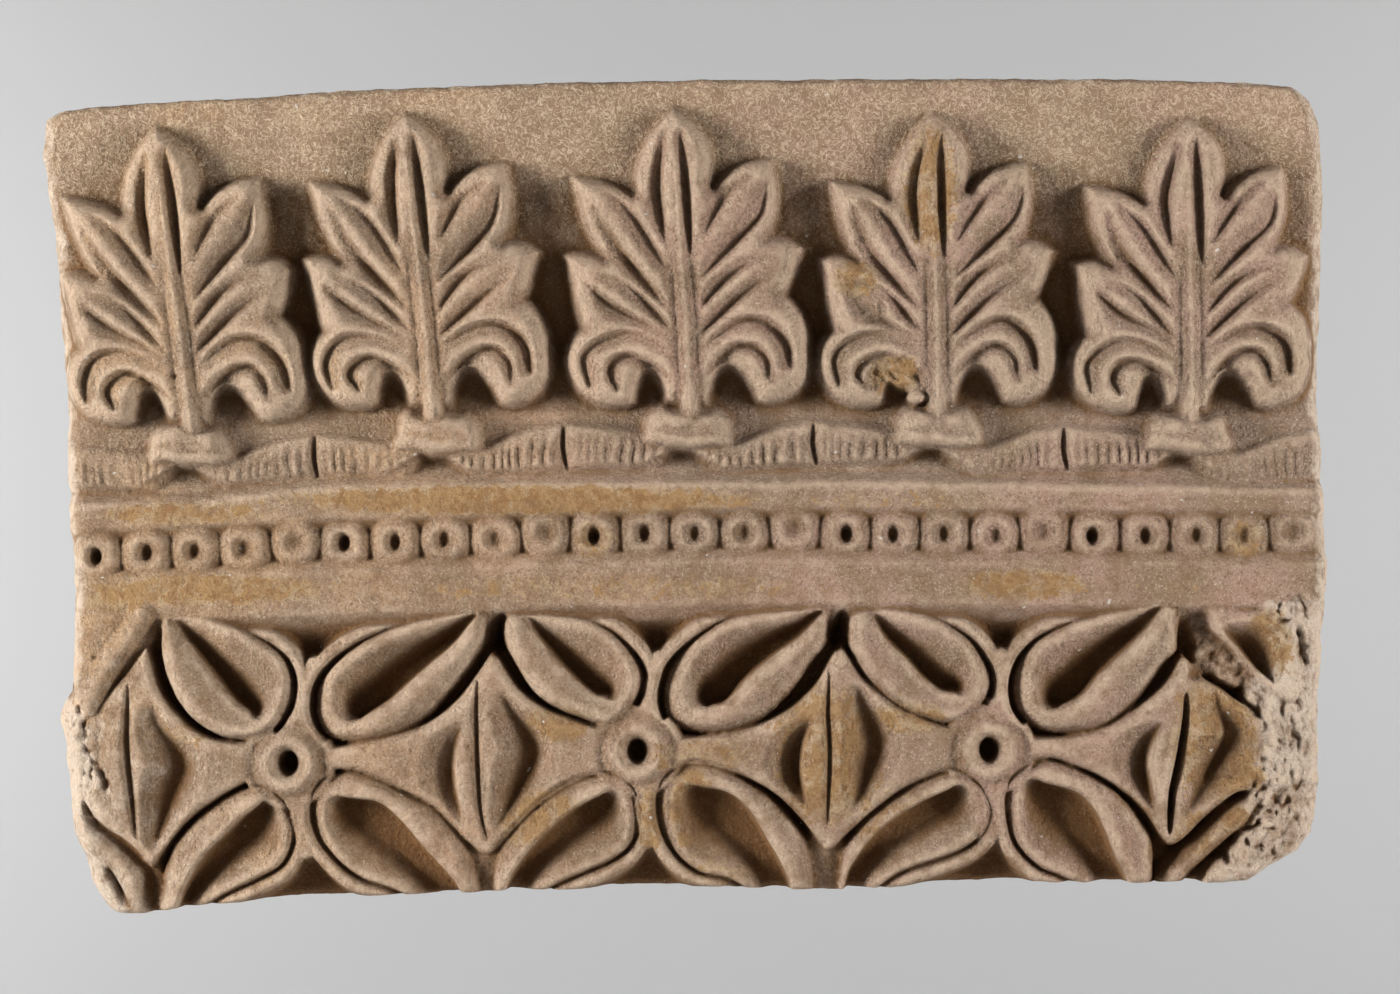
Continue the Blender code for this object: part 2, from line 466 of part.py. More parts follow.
def star(face, top, foot, leaf_left, leaf_right, slit, slit_half, left_depth, right_depth, left, right):
    """A star with concave sides, hollowed around an upright leaf that is slit down its middle."""
    top, foot = np.array(top), np.array(foot)
    nodes = [(top[0], top[1], -0.16),
             (right[0], right[1] + ARM_HALF, 0.0), (right[0], right[1] - ARM_HALF, -0.16),
             (foot[0], foot[1], -0.16),
             (left[0], left[1] - ARM_HALF, 0.0), (left[0], left[1] + ARM_HALF, -0.16),
             (top[0], top[1], 0.0)]
    outline = arcs(nodes, 10)[:-1]
    block = face.near(outline, 0.005)
    depth = face.inside(outline, block)
    x, z = face.x[block], face.z[block]
    body = STAR_FACE - 0.0016 * (1 - np.clip(depth / 0.0034, 0, 1)) ** 2
    # Each valley runs from the star's top to its foot past the leaf's widest point: a smooth
    # curve on the left, and on the right a corner, with a flat facet of leaf beside it.
    high, low = top + (foot - top) * 0.07, foot + (top - foot) * 0.05
    left_bow = (leaf_left[0] - (high[0] + low[0]) / 2) / (high[1] - low[1])
    left_valley = np.concatenate([arc(high, low, left_bow, 14), [low]])
    right_valley = np.concatenate([arc(high, leaf_right, -0.05), arc(leaf_right, low, -0.05), [low]])
    hollow = np.zeros_like(body)
    for valley, side, deepest, leaf_reach, bend in ((left_valley, -1, left_depth, 0.0100, 1.6),
                                                    (right_valley, 1, right_depth, 0.0175, 1.25)):
        gap, place = face.beside(valley, block)
        middle = np.sin(math.pi * place)
        outside = (x - np.interp(-z, -valley[:, 1], valley[:, 0])) * side
        reach = np.where(outside > 0, 0.0050 + 0.0150 * middle ** 2, leaf_reach)
        near = np.clip(1 - gap / reach, 0, 1)
        hollow = np.maximum(hollow, deepest * near ** np.where(outside > 0, 1.7, bend) * middle ** 1.1)
    face.fill(block, np.where(depth > 0, body - hollow, STAR_FACE - 0.0016 + depth * 5))
    face.groove(np.array(slit), slit_half, 0.0115 * slit_half / 0.0024, 0.45)


def upright(face, k):
    """The stem through ring k, up and down to the forks where the bands beside it part."""
    for (x, z), up in ((FORK_TOP[k], 1), (FORK_FOOT[k], -1)):
        face.ridge(np.array([RINGS[k], (x, z)]), 0.0036, STAR_FACE, 0.0010)
        web = np.array([(x - 0.0048, z + 0.0022 * up), (x, z - 0.0008 * up), (x + 0.0048, z + 0.0022 * up)])
        face.ridge(web, 0.0026, STAR_FACE - 0.0004, 0.0010)


def ring(face, centre):
    """A round ring with a small deep hole, set off from the petals by a narrow valley."""
    block = face.near([centre], 0.024)
    x, z = face.x[block] - centre[0], face.z[block] - centre[1]
    reach = np.hypot(x, z)
    off_arms = smooth(np.minimum(np.abs(x), np.abs(z)), 0.0050, 0.0090)
    face.height[block] -= 0.0026 * off_arms * np.clip(1 - np.abs(reach - 0.0172) / 0.0024, 0, 1)
    crest = STAR_FACE + 0.0018
    top = crest - 0.0028 * ((reach - RING_CREST) / 0.0060) ** 2
    face.fill(block, np.where(reach < RING_OUTER, top, STAR_FACE - 0.001 - (reach - RING_OUTER) * 4))
    face.pit(centre, *RING_HOLE, 0.0175)


def band_of_stars(face):
    """Four stars and, around each of three rings, four petals within their bands."""
    middles = [LAST_LEFT] + RINGS + [LAST_RIGHT]
    for k, shape in enumerate(STARS):
        star(face, *shape, middles[k], middles[k + 1])
    for k, (x, z) in enumerate(RINGS):
        ends = {"upper right": ((MEET_TOP[k][0] + 0.0024, MEET_TOP[k][1] - 0.001), (x + 0.0005, z + 0.0197)),
                "upper left": ((MEET_TOP[k + 1][0] - 0.0014, MEET_TOP[k + 1][1]), (x + 0.0122, z + 0.0160)),
                "lower right": ((MEET_FOOT[k][0] + 0.0033, MEET_FOOT[k][1]), (x + 0.0010, z - 0.0179)),
                "lower left": ((MEET_FOOT[k + 1][0] - 0.0080, MEET_FOOT[k + 1][1]), (x + 0.0113, z - 0.0179))}
        for name, (tip, end) in ends.items():
            petal(face, tip, end, **PETALS[name])
        upright(face, k)
        ring(face, (x, z))
    for x, z in MEET_FOOT[1:3]:
        face.ridge(np.array([(x + 0.001, z + 0.016), (x, z - 0.003)]), 0.0060, 0.0535, 0.0014, 2.0)


def broken_left(face):
    """Left of the first star the pattern is cut off by a broken, pitted edge."""
    face.broken([(-0.296, -0.067), (-0.268, -0.067), (-0.281, -0.098), (-0.289, -0.105), (-0.298, -0.098)],
                0.0575, 0.0, 0.0005, 0.004, 31, 0.10)
    face.ridge(np.array([(-0.254, -0.060), (-0.266, -0.0765), (-0.279, -0.0975)]), 0.0054, 0.0610, 0.0024)
    face.groove(np.array([(-0.2505, -0.0615), (-0.2575, -0.0795), (-0.2725, -0.0985), (-0.2765, -0.103)]),
                0.0036, 0.0120, 0.35)
    face.broken([(-0.293, -0.100), (-0.284, -0.104), (-0.280, -0.1235), (-0.2765, -0.1425), (-0.283, -0.150),
                 (-0.2905, -0.1425)], 0.0530, 0.0, 0.0016, 0.004, 33, 0.10)
    for x, z in ((-0.2778, -0.129), (-0.2705, -0.136), (-0.2835, -0.1035), (-0.2815, -0.113)):
        face.pit((x, z), 0.0026, 0.0040, 0.0050)
    face.broken([(-0.287, -0.150), (-0.2745, -0.160), (-0.254, -0.181), (-0.256, -0.201), (-0.277, -0.201),
                 (-0.284, -0.180)], 0.0555, 0.04, 0.0006, 0.004, 35, 0.10)
    face.groove(np.array([(-0.284, -0.1425), (-0.2725, -0.1575), (-0.262, -0.1665), (-0.251, -0.177)]),
                0.0040, 0.0100, 0.35)
    face.groove(np.array([(-0.2705, -0.1735), (-0.265, -0.184), (-0.2595, -0.196)]), 0.0026, 0.0080, 0.4)
    face.groove(np.array([(-0.250, -0.1745), (-0.251, -0.201)]), 0.0055, 0.0075, 0.3)


def broken_right(face):
    """Right of the last star a petal is half lost, and rough plaster fills the broken end."""
    petal(face, (0.2405, -0.0522), (0.2925, -0.1029), **PETALS["broken right"])
    face.groove(np.array([(0.2350, -0.0520), (0.2375, -0.0640), (0.2390, -0.0770)]), 0.0060, 0.0090, 0.3)
    face.broken([(0.2810, -0.058), (0.3036, -0.048), (0.308, -0.180), (0.261, -0.185), (0.236, -0.1825),
                 (0.262, -0.150), (0.2715, -0.135), (0.2700, -0.108), (0.286, -0.100), (0.2830, -0.078)],
                0.0545, 0.02, 0.0020, 0.005, 45, -0.14)
    face.groove(np.array([(0.2895, -0.0620), (0.2915, -0.0700), (0.2945, -0.0805)]), 0.0022, 0.0060)
    face.ridge(np.array([(0.2275, -0.181), (0.245, -0.162), (0.264, -0.1420)]), 0.0048, 0.0590)
    face.groove(np.array([(0.2215, -0.171), (0.240, -0.1560), (0.2600, -0.1385)]), 0.0048, 0.0110, 0.35)
    face.groove(np.array([(0.2520, -0.0885), (0.2610, -0.0940), (0.2715, -0.1010)]), 0.0026, 0.0070)
    face.groove(np.array([(0.2400, -0.1760), (0.2560, -0.1640), (0.2640, -0.1560), (0.2715, -0.1535)]),
                0.0028, 0.0070)
    face.pit((0.2558, -0.1705), 0.0030, 0.0045, 0.0080)
    face.groove(np.array([(0.223, -0.166), (0.219, -0.1745), (0.218, -0.187)]), 0.0055, 0.0070, 0.3)


def carve(step):
    """The whole carved face, worked out in the order of its making."""
    face = Face(step)
    ground(face)
    for k, shape in enumerate(PALMETTES):
        palmette(face, *shape, seed=10 + k)
    ribbon(face)
    for x, z in KNOTS:
        knot(face, x, z)
    fillets(face)
    beads(face)
    band_of_stars(face)
    broken_left(face)
    broken_right(face)
    face.soften(SOFTNESS)
    return face


def spread(rows, columns):
    """Points spread evenly over the broken outline, and their distances in from its sides."""
    s, t = np.meshgrid(np.linspace(0, 1, columns), np.linspace(0, 1, rows))
    z = -0.19 + 0.387 * t
    for _ in range(8):
        left, right = line(LEFT_SIDE, z), line(RIGHT_SIDE, z)
        x = left + (right - left) * s
        foot, top = line(FOOT_SIDE, x), line(TOP_SIDE, x)
        z = foot + (top - foot) * t
    return x, z, np.minimum(x - left, right - x), np.minimum(z - foot, top - z)


def front_sheet():
    """The carved face as an open sheet, worn along its rim and thinned to its facets."""
    face = carve(GRID_STEP)
    rows, columns = round(0.385 / GRID_STEP), round(0.600 / GRID_STEP)
    x, z, side_gap, end_gap = spread(rows, columns)
    height = face.sample(x, z)
    height -= 0.0105 * (1 - np.clip(side_gap / 0.0085, 0, 1)) ** 2
    height -= 0.0030 * (1 - np.clip(end_gap / 0.0025, 0, 1)) ** 2
    shape = bmesh.new()
    bmesh.ops.create_grid(shape, x_segments=columns - 1, y_segments=rows - 1, size=1)
    mesh = bpy.data.meshes.new("sheet")
    shape.to_mesh(mesh)
    shape.free()
    places = np.stack([x, -height, z], -1).reshape(-1, 3)
    mesh.vertices.foreach_set("co", places.ravel())
    sheet = bpy.data.objects.new("sheet", mesh)
    bpy.context.collection.objects.link(sheet)
    thin = sheet.modifiers.new("thin", "DECIMATE")
    thin.ratio = FACETS_KEPT
    thin.use_collapse_triangulate = True
    seen = sheet.evaluated_get(bpy.context.evaluated_depsgraph_get())
    shape = bmesh.new()
    shape.from_mesh(seen.to_mesh())
    bpy.data.objects.remove(sheet, do_unlink=True)
    bpy.data.meshes.remove(mesh)
    return shape


def plaster():
    """Dry gypsum plaster, pinkish grey, matt."""
    material = bpy.data.materials.new("gypsum_plaster")
    material.use_nodes = True
    shader = material.node_tree.nodes["Principled BSDF"]
    shader.inputs["Base Color"].default_value = (0.42, 0.32, 0.24, 1.0)
    shader.inputs["Roughness"].default_value = 0.9
    shader.inputs["Metallic"].default_value = 0.0
    return material


def panel():
    """The carved sheet with its rim run straight back to a flat back at y = 0."""
    shape = front_sheet()
    rim = [edge for edge in shape.edges if edge.is_boundary]
    grown = bmesh.ops.extrude_edge_only(shape, edges=rim)["geom"]
    for item in grown:
        if isinstance(item, bmesh.types.BMVert):
            item.co.y = 0.0
    back_rim = [edge for edge in shape.edges if edge.is_boundary]
    back = bmesh.ops.contextual_create(shape, geom=back_rim)["faces"]
    bmesh.ops.triangulate(shape, faces=back + [f for f in shape.faces if len(f.verts) == 4])
    bmesh.ops.recalc_face_normals(shape, faces=shape.faces)
    mesh = bpy.data.meshes.new("panel")
    shape.to_mesh(mesh)
    shape.free()
    mesh.materials.append(plaster())
    mesh.shade_smooth()
    mesh.set_sharp_from_angle(angle=math.radians(40))
    bpy.context.collection.objects.link(bpy.data.objects.new("panel", mesh))


for leftover in list(bpy.data.objects):
    bpy.data.objects.remove(leftover, do_unlink=True)
panel()
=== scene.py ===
"""The looks of a carved gypsum wall panel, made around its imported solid.

Seen from the front, x runs to the right, z up and y into the wall, whose face is at y = 0.
Heights of the carving are counted from the wall towards the viewer. Everything is in metres,
but for the outlines and lists that say millimetres.
"""
import math

import bmesh
import bpy
import numpy as np
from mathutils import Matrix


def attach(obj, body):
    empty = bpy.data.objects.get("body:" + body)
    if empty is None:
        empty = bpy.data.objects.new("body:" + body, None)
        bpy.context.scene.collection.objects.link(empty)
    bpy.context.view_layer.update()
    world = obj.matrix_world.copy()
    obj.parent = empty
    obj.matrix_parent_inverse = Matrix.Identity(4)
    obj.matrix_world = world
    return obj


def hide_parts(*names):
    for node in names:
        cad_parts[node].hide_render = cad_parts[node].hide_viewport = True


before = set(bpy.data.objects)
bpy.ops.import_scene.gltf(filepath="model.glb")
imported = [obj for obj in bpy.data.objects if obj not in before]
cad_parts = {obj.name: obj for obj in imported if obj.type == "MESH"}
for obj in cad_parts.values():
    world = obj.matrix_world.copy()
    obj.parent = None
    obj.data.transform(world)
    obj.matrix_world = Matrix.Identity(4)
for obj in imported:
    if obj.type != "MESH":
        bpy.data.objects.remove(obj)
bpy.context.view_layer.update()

# The blank: a slab of gypsum plaster about 60 mm thick, cast on a board, so that its back is
# flat, and cut and broken to its outline. The field behind the leaves is dug out of its face,
# left proud along the top and deepest between the leaves.
CARVING_STEP = 0.00065
# Left and right sides as (z, x), top and foot as (x, z).
LEFT_SIDE = [(-0.196, -0.2705), (-0.181, -0.2805), (-0.170, -0.2825), (-0.158, -0.2893),
             (-0.134, -0.2903), (-0.115, -0.2930), (-0.104, -0.2965), (-0.092, -0.2915),
             (-0.072, -0.2885), (-0.044, -0.2879), (-0.001, -0.2916), (0.046, -0.2940), (0.084, -0.2978),
             (0.117, -0.2992), (0.141, -0.3025), (0.164, -0.3049), (0.179, -0.3039), (0.182, -0.3002)]
RIGHT_SIDE = [(-0.181, 0.2678), (-0.174, 0.2773), (-0.167, 0.2905), (-0.158, 0.2972), (-0.143, 0.3000),
              (-0.096, 0.3000), (-0.049, 0.3033), (-0.030, 0.3043), (0.008, 0.3019), (0.046, 0.3019),
              (0.093, 0.3033), (0.141, 0.3043), (0.178, 0.3019), (0.188, 0.2972), (0.194, 0.2915)]
TOP_SIDE = [(-0.300, 0.182), (-0.276, 0.185), (-0.206, 0.189), (-0.158, 0.1925), (-0.064, 0.196),
            (0.008, 0.1974), (0.150, 0.198), (0.220, 0.1975), (0.268, 0.196), (0.2915, 0.194)]
FOOT_SIDE = [(-0.265, -0.196), (-0.253, -0.196), (-0.229, -0.192), (-0.182, -0.189), (-0.087, -0.185),
             (0.008, -0.183), (0.069, -0.1845), (0.102, -0.183), (0.150, -0.181), (0.268, -0.181)]
GROUND_TOP = 0.0475
GROUND = [(-0.02, GROUND_TOP), (0.027, 0.0465), (0.050, 0.0385), (0.093, 0.0400), (0.140, 0.0425),
          (0.182, 0.0465), (0.201, GROUND_TOP)]


def smooth(value, low, high):
    """0 up to low, 1 from high on, with a soft curve between."""
    t = np.clip((value - low) / (high - low), 0, 1)
    return t * t * (3 - 2 * t)


def line(points, x):
    """Second value of a line of points at a first value."""
    return np.interp(x, *np.transpose(points))


def grain(x, z, cell, seed, octaves=1):
    """Soft irregular values of about -1 to 1, changing over one cell, finer in each octave."""
    size, finer_share = 128, 0.55
    total, weight = 0, 0
    for k in range(octaves):
        table = np.random.default_rng(seed + 100 * k).random((size, size)) * 2 - 1
        u, v = x / cell + size / 2 + 0.37 * k, z / cell + size / 2 + 0.61 * k
        i, j = np.floor(u).astype(int), np.floor(v).astype(int)
        u, v = smooth(u - i, 0, 1), smooth(v - j, 0, 1)
        near = table[i % size, j % size] * (1 - u) + table[(i + 1) % size, j % size] * u
        far = table[i % size, (j + 1) % size] * (1 - u) + table[(i + 1) % size, (j + 1) % size] * u
        total = total + (near * (1 - v) + far * v) * finer_share ** k
        weight += finer_share ** k
        cell = cell / 2
    return total / weight


class Carving:
    """The height of the carved face above the wall, on a regular grid of points."""

    def __init__(self, step):
        self.step = step
        self.across = np.arange(-0.310, 0.311, step)
        self.up = np.arange(-0.202, 0.203, step)
        self.x, self.z = np.meshgrid(self.across, self.up)
        self.height = np.zeros_like(self.x)

    def near(self, points, margin):
        """The block of the grid around some points."""
        points = np.asarray(points)
        low, high = points.min(0) - margin, points.max(0) + margin
        columns = slice(*np.searchsorted(self.across, (low[0], high[0])))
        rows = slice(*np.searchsorted(self.up, (low[1], high[1])))
        return rows, columns

    def at(self, block):
        """The places of a block of the grid."""
        return self.x[block], self.z[block]

    def beside(self, points, block):
        """Distance from a line of points, how far along it, and on which side (1 left, -1 right)."""
        x, z = self.at(block)
        best = np.full(x.shape, np.inf)
        place, side = np.zeros(x.shape), np.zeros(x.shape)
        run = np.concatenate([[0], np.cumsum(np.hypot(*np.diff(points, axis=0).T))])
        for k, ((ax, az), (bx, bz)) in enumerate(zip(points, points[1:])):
            ex, ez = bx - ax, bz - az
            t = np.clip(((x - ax) * ex + (z - az) * ez) / max(ex * ex + ez * ez, 1e-18), 0, 1)
            gap = (x - ax - t * ex) ** 2 + (z - az - t * ez) ** 2
            closer = gap < best
            best[closer] = gap[closer]
            place[closer] = (run[k] + t * (run[k + 1] - run[k]))[closer]
            side[closer] = np.sign(ex * (z - az) - ez * (x - ax))[closer]
        return np.sqrt(best), place / run[-1], side

    def inside(self, outline, block):
        """Distance in from a closed outline, negative outside it."""
        x, z = self.at(block)
        gap, _, _ = self.beside(np.concatenate([outline, outline[:1]]), block)
        within = np.zeros(x.shape, bool)
        for (ax, az), (bx, bz) in zip(outline, np.roll(outline, -1, 0)):
            if az != bz:
                within ^= ((az > z) != (bz > z)) & (x < (bx - ax) * (z - az) / (bz - az) + ax)
        return np.where(within, gap, -gap)

    def fill(self, block, height):
        """Raise the face to a height where it lies lower."""
        self.height[block] = np.maximum(self.height[block], height)

    def sample(self, field, x, z):
        """Values of a field of the grid read between its points."""
        u = np.clip((x - self.across[0]) / self.step, 0, len(self.across) - 1.001)
        v = np.clip((z - self.up[0]) / self.step, 0, len(self.up) - 1.001)
        i, j = u.astype(int), v.astype(int)
        u, v = u - i, v - j
        low = field[j, i] * (1 - u) + field[j, i + 1] * u
        high = field[j + 1, i] * (1 - u) + field[j + 1, i + 1] * u
        return low * (1 - v) + high * v


carving = Carving(CARVING_STEP)
# The ground rises from between the leaves to the panel's top, and is a little lumpy.
carving.height[:] = line(GROUND, carving.z)
carving.height += 0.0007 * grain(carving.x, carving.z, 0.028, 1, 2)
carving.height += 0.00035 * grain(carving.x, carving.z, 0.0062, 2, 2)

# The palmettes: five leaves of seven lobes, left standing 10 to 18 mm proud of the field.
# Their sides lean in, every lobe is cut by knife strokes into rounded ribs, and the lowest
# lobes curl around an opening on each side of the ridged stem.
LEAF_FACE = 0.0568
LEAF_SIDE = 0.0030
LEAF_EDGE = 0.0062
LEAF_EDGE_FALL = 0.0046
# Foot of each stem, how far its tip leans to the right, and its height.
PALMETTES = [(-0.2322, 0.0315, -0.0174, 0.1448), (-0.1185, 0.0399, -0.0136, 0.1434),
             (0.0028, 0.0409, -0.0080, 0.1448), (0.1194, 0.0409, -0.0024, 0.1424),
             (0.2387, 0.0385, -0.0009, 0.1424)]
# Outline of each half from the tip down, as shares of the height, with the bow of the arc that
# leads to the next point.
RIGHT_HALF = [(0.000, 1.000, 0.20), (0.117, 0.734, 0.12), (0.315, 0.828, 0.11), (0.289, 0.570, 0.10),
              (0.398, 0.530, 0.05), (0.336, 0.375, 0.13), (0.406, 0.211, 0.22), (0.266, 0.016, 0.05),
              (0.221, 0.030, -0.70), (0.058, 0.015, 0.0)]
LEFT_HALF = [(0.000, 1.000, -0.11), (-0.149, 0.712, -0.06), (-0.342, 0.762, -0.06), (-0.256, 0.500, -0.10),
             (-0.380, 0.505, 0.0), (-0.344, 0.266, -0.10), (-0.398, 0.162, -0.12), (-0.334, 0.035, -0.10),
             (-0.200, 0.010, 0.0), (-0.175, 0.026, 1.0), (-0.078, 0.026, 0.0)]
# Knife strokes: points along each from its outer end, shares of the usual width and depth, how
# far along it is deepest, and its steep side (1 left of its line, -1 right).
STROKES = [([(-0.030, 0.915), (-0.066, 0.729), (-0.056, 0.540)], 1.15, 1.20, 0.50, 1),
           ([(0.022, 0.925), (0.030, 0.729), (0.030, 0.480)], 0.85, 1.10, 0.50, 1),
           ([(0.250, 0.765), (0.162, 0.690), (0.072, 0.560)], 0.90, 0.75, 0.50, 1),
           ([(0.290, 0.755), (0.262, 0.640), (0.186, 0.550), (0.055, 0.425)], 1.10, 1.05, 0.50, 1),
           ([(0.300, 0.522), (0.160, 0.449), (0.040, 0.325)], 0.90, 0.85, 0.62, 1),
           ([(0.318, 0.466), (0.195, 0.375), (0.034, 0.238)], 0.95, 0.95, 0.62, 1),
           ([(0.338, 0.125), (0.322, 0.228), (0.250, 0.290), (0.154, 0.280), (0.046, 0.206)],
            1.10, 1.10, 0.30, -1),
           ([(0.268, 0.082), (0.262, 0.165), (0.216, 0.208), (0.134, 0.193), (0.042, 0.098)],
            0.90, 0.95, 0.50, -1),
           ([(-0.252, 0.708), (-0.151, 0.630), (-0.038, 0.435)], 1.00, 0.85, 0.58, 1),
           ([(-0.280, 0.680), (-0.206, 0.530), (-0.038, 0.328)], 1.15, 1.15, 0.52, 1),
           ([(-0.315, 0.455), (-0.179, 0.400), (-0.040, 0.250)], 1.00, 0.90, 0.68, 1),
           ([(-0.318, 0.415), (-0.230, 0.338), (-0.112, 0.268), (-0.044, 0.222)], 1.00, 0.95, 0.40, 1),
           ([(-0.322, 0.075), (-0.336, 0.168), (-0.280, 0.233), (-0.165, 0.252), (-0.042, 0.180)],
            1.00, 0.95, 0.30, 1),
           ([(-0.235, 0.062), (-0.262, 0.120), (-0.232, 0.168), (-0.155, 0.174), (-0.040, 0.102)],
            0.85, 0.90, 0.40, 1)]
STROKE_DEPTH = 0.0068
STROKE_SHIFT = 0.0045
STEEP_REACH = 0.0027
GENTLE_REACH = 0.0086
STEM = [(-0.006, 0.94), (-0.004, 0.60), (0.002, 0.30), (0.0, -0.02)]
STEM_HALF = 0.0044
EYE_LIP = 0.0056
# The openings beside the stem: start and end of the arch over each, and its bow.
EYES = [((0.062, 0.0), (0.218, 0.0), 0.74), ((-0.180, 0.0), (-0.078, 0.0), 1.10)]


def arc(start, end, bow, steps=8):
    """Points of a shallow arc, without its end; a positive bow swings to the left of travel."""
    start, end = np.asarray(start, float), np.asarray(end, float)
    s = np.linspace(0, 1, steps, endpoint=False)[:, None]
    chord = end - start
    left = np.array([-chord[1], chord[0]])
    return start + s * chord + 4 * bow * s * (1 - s) * left


def arcs(nodes):
    """A chain of arcs through nodes of (x, z, bow to the next)."""
    runs = [arc(a[:2], b[:2], a[2]) for a, b in zip(nodes, nodes[1:])]
    return np.concatenate(runs + [[nodes[-1][:2]]])


def bent(points, steps=8):
    """A smooth line through a few points."""
    points = np.asarray(points, float)
    ends = np.concatenate([[2 * points[0] - points[1]], points, [2 * points[-1] - points[-2]]])
    s = np.linspace(0, 1, steps, endpoint=False)[:, None]
    runs = []
    for a, b, c, d in zip(ends, ends[1:], ends[2:], ends[3:]):
        runs.append(0.5 * (2 * b + (c - a) * s + (2 * a - 5 * b + 4 * c - d) * s ** 2
                           + (3 * b - a - 3 * c + d) * s ** 3))
    return np.concatenate(runs + [points[-1:]])


def fading(distance, reach, power=1):
    """1 up to no distance, falling to 0 at reach."""
    return (1 - np.clip(distance / reach, 0, 1)) ** power


def bell(offset, width):
    """1 in the middle, falling off softly to both sides."""
    return np.exp(-(offset / width) ** 2)


def stroke(points, block, width, depth, deepest, steep):
    """How deep a knife stroke cuts: one steep side, and one that rises slowly to the next rib."""
    gap, place, side = carving.beside(points, block)
    place = np.clip(place, 0.001, 0.999) ** (math.log(0.5) / math.log(deepest))
    taper = np.sin(math.pi * place) ** 0.65
    on_steep = side * steep > 0
    reach = np.where(on_steep, STEEP_REACH, GENTLE_REACH) * width * (0.45 + 0.55 * taper)
    away = fading(gap, reach)
    cut = np.where(on_steep, 0.86 * away, 0.58 * away + 0.28 * away ** 3)
    return depth * taper * (cut + 0.14 * fading(gap, 0.0056, 1.5))


def palmette(foot_x, foot_z, lean, tall, seed):
    """One leaf, raised from the field and cut with its strokes."""
    hand = np.random.default_rng(seed)

    def place(points):
        points = np.asarray(points, float)
        up = points[..., 1]
        return np.stack([foot_x + lean * up + tall * points[..., 0], foot_z + tall * up], -1)

    outline = place(np.concatenate([arcs(RIGHT_HALF), arcs(LEFT_HALF)[::-1][:-1]]))
    block = carving.near(outline, 0.03)
    x, z = carving.at(block)
    depth = carving.inside(outline, block) + 0.0004 * grain(x, z, 0.009, seed, 2)
    moat = 0.0035 * np.exp(np.minimum(depth, 0) / 0.008) * smooth(z - foot_z, 0.012, 0.045)
    moat *= 1 - 0.6 * smooth(z - foot_z, 0.080, 0.125)
    carving.height[block] -= moat * (depth < 0)
    # The outline is the foot of the leaf's side, which leans in to the face.
    depth = depth - LEAF_SIDE
    top = LEAF_FACE - LEAF_EDGE_FALL * fading(depth, LEAF_EDGE, 1.8)
    cut = np.zeros(x.shape)
    for points, width, deep, deepest, steep in STROKES:
        path = place(bent(np.array(points) + hand.normal(0, STROKE_SHIFT, (len(points), 2))))
        cut = np.maximum(cut, stroke(path, block, width, STROKE_DEPTH * deep, deepest, steep))
    # The stem stands between the strokes' inner ends as a half round, in a shallow trough.
    gap, along, _ = carving.beside(place(STEM), block)
    stem_half = STEM_HALF * (0.50 + 0.50 * smooth(along, 0.25, 0.50))
    trough = fading(np.abs(gap - stem_half), 0.0070, 1.3) * smooth(along, 0.25, 0.60)
    cut = np.maximum(cut, 0.0026 * trough)
    face = np.where(depth > 0, top - cut, LEAF_FACE - LEAF_EDGE_FALL + depth * 2.5)
    round_top = LEAF_FACE + 0.0003 - 0.0034 * np.clip(gap / stem_half, 0, 1) ** 1.8
    round_top -= 0.0020 * smooth(0.14 - along, 0, 0.14)
    face = np.where((gap < stem_half) & (along > 0), np.maximum(face, round_top), face)
    carving.fill(block, face)
    for start, end, bow in EYES:
        mouth = [end, (end[0], -0.03), (start[0], -0.03)]
        eye = place(np.concatenate([arc(start, end, bow, 14), mouth]))
        block = carving.near(eye, 0.008)
        x, z = carving.at(block)
        depth = carving.inside(eye, block) + 0.0003 * grain(x, z, 0.006, seed, 2)
        floor = 0.0484 - 0.0050 * smooth((z - foot_z) / tall, -0.04, 0.08)
        lip = LEAF_FACE - 0.0002 - LEAF_EDGE_FALL * fading(-depth, EYE_LIP, 2)
        opened = np.where(depth > 0, np.maximum(floor, LEAF_FACE - 0.0048 - depth * 3.2), lip)
        opened = np.minimum(carving.height[block], opened)
        carving.height[block] = np.where(depth > -EYE_LIP, opened, carving.height[block])


# The field is dug deepest half-way between two leaves.
for left, right in zip(PALMETTES, PALMETTES[1:]):
    middle = (left[0] + left[2] / 2 + right[0] + right[2] / 2) / 2
    carving.height -= 0.0014 * bell(carving.x - middle, 0.0075) * bell(carving.z - 0.0715, 0.024)
for k, shape in enumerate(PALMETTES):
    palmette(*shape, seed=10 + k)

# The ribbon: a flat pleated band under the palmettes, tied at the foot of each stem by a
# broad lumpy collar, under which it parts over a three-sided hollow, and joined half-way to
# the next knot in an upright seam.
RIBBON_FACE = 0.0508
RIBBON_EDGE_FALL = 0.0012
KNOT_FACE = 0.0578
KNOT_EDGE_FALL = 0.0030
# Tips of the hollows under the knots, and the seams as (x, top, foot).
KNOTS = [(-0.2364, 0.0164), (-0.1194, 0.0226), (-0.0014, 0.0249), (0.1165, 0.0249), (0.2345, 0.0221)]
SEAMS = [(-0.2960, 0.0236, 0.0035), (-0.1744, 0.0282, 0.0095), (-0.0569, 0.0329, 0.0140),
         (0.0611, 0.0338, 0.0160), (0.1795, 0.0320, 0.0136), (0.2970, 0.0296, 0.0085)]
PLEAT_PITCH = 0.0052
PLEAT_HEIGHT = 0.0014
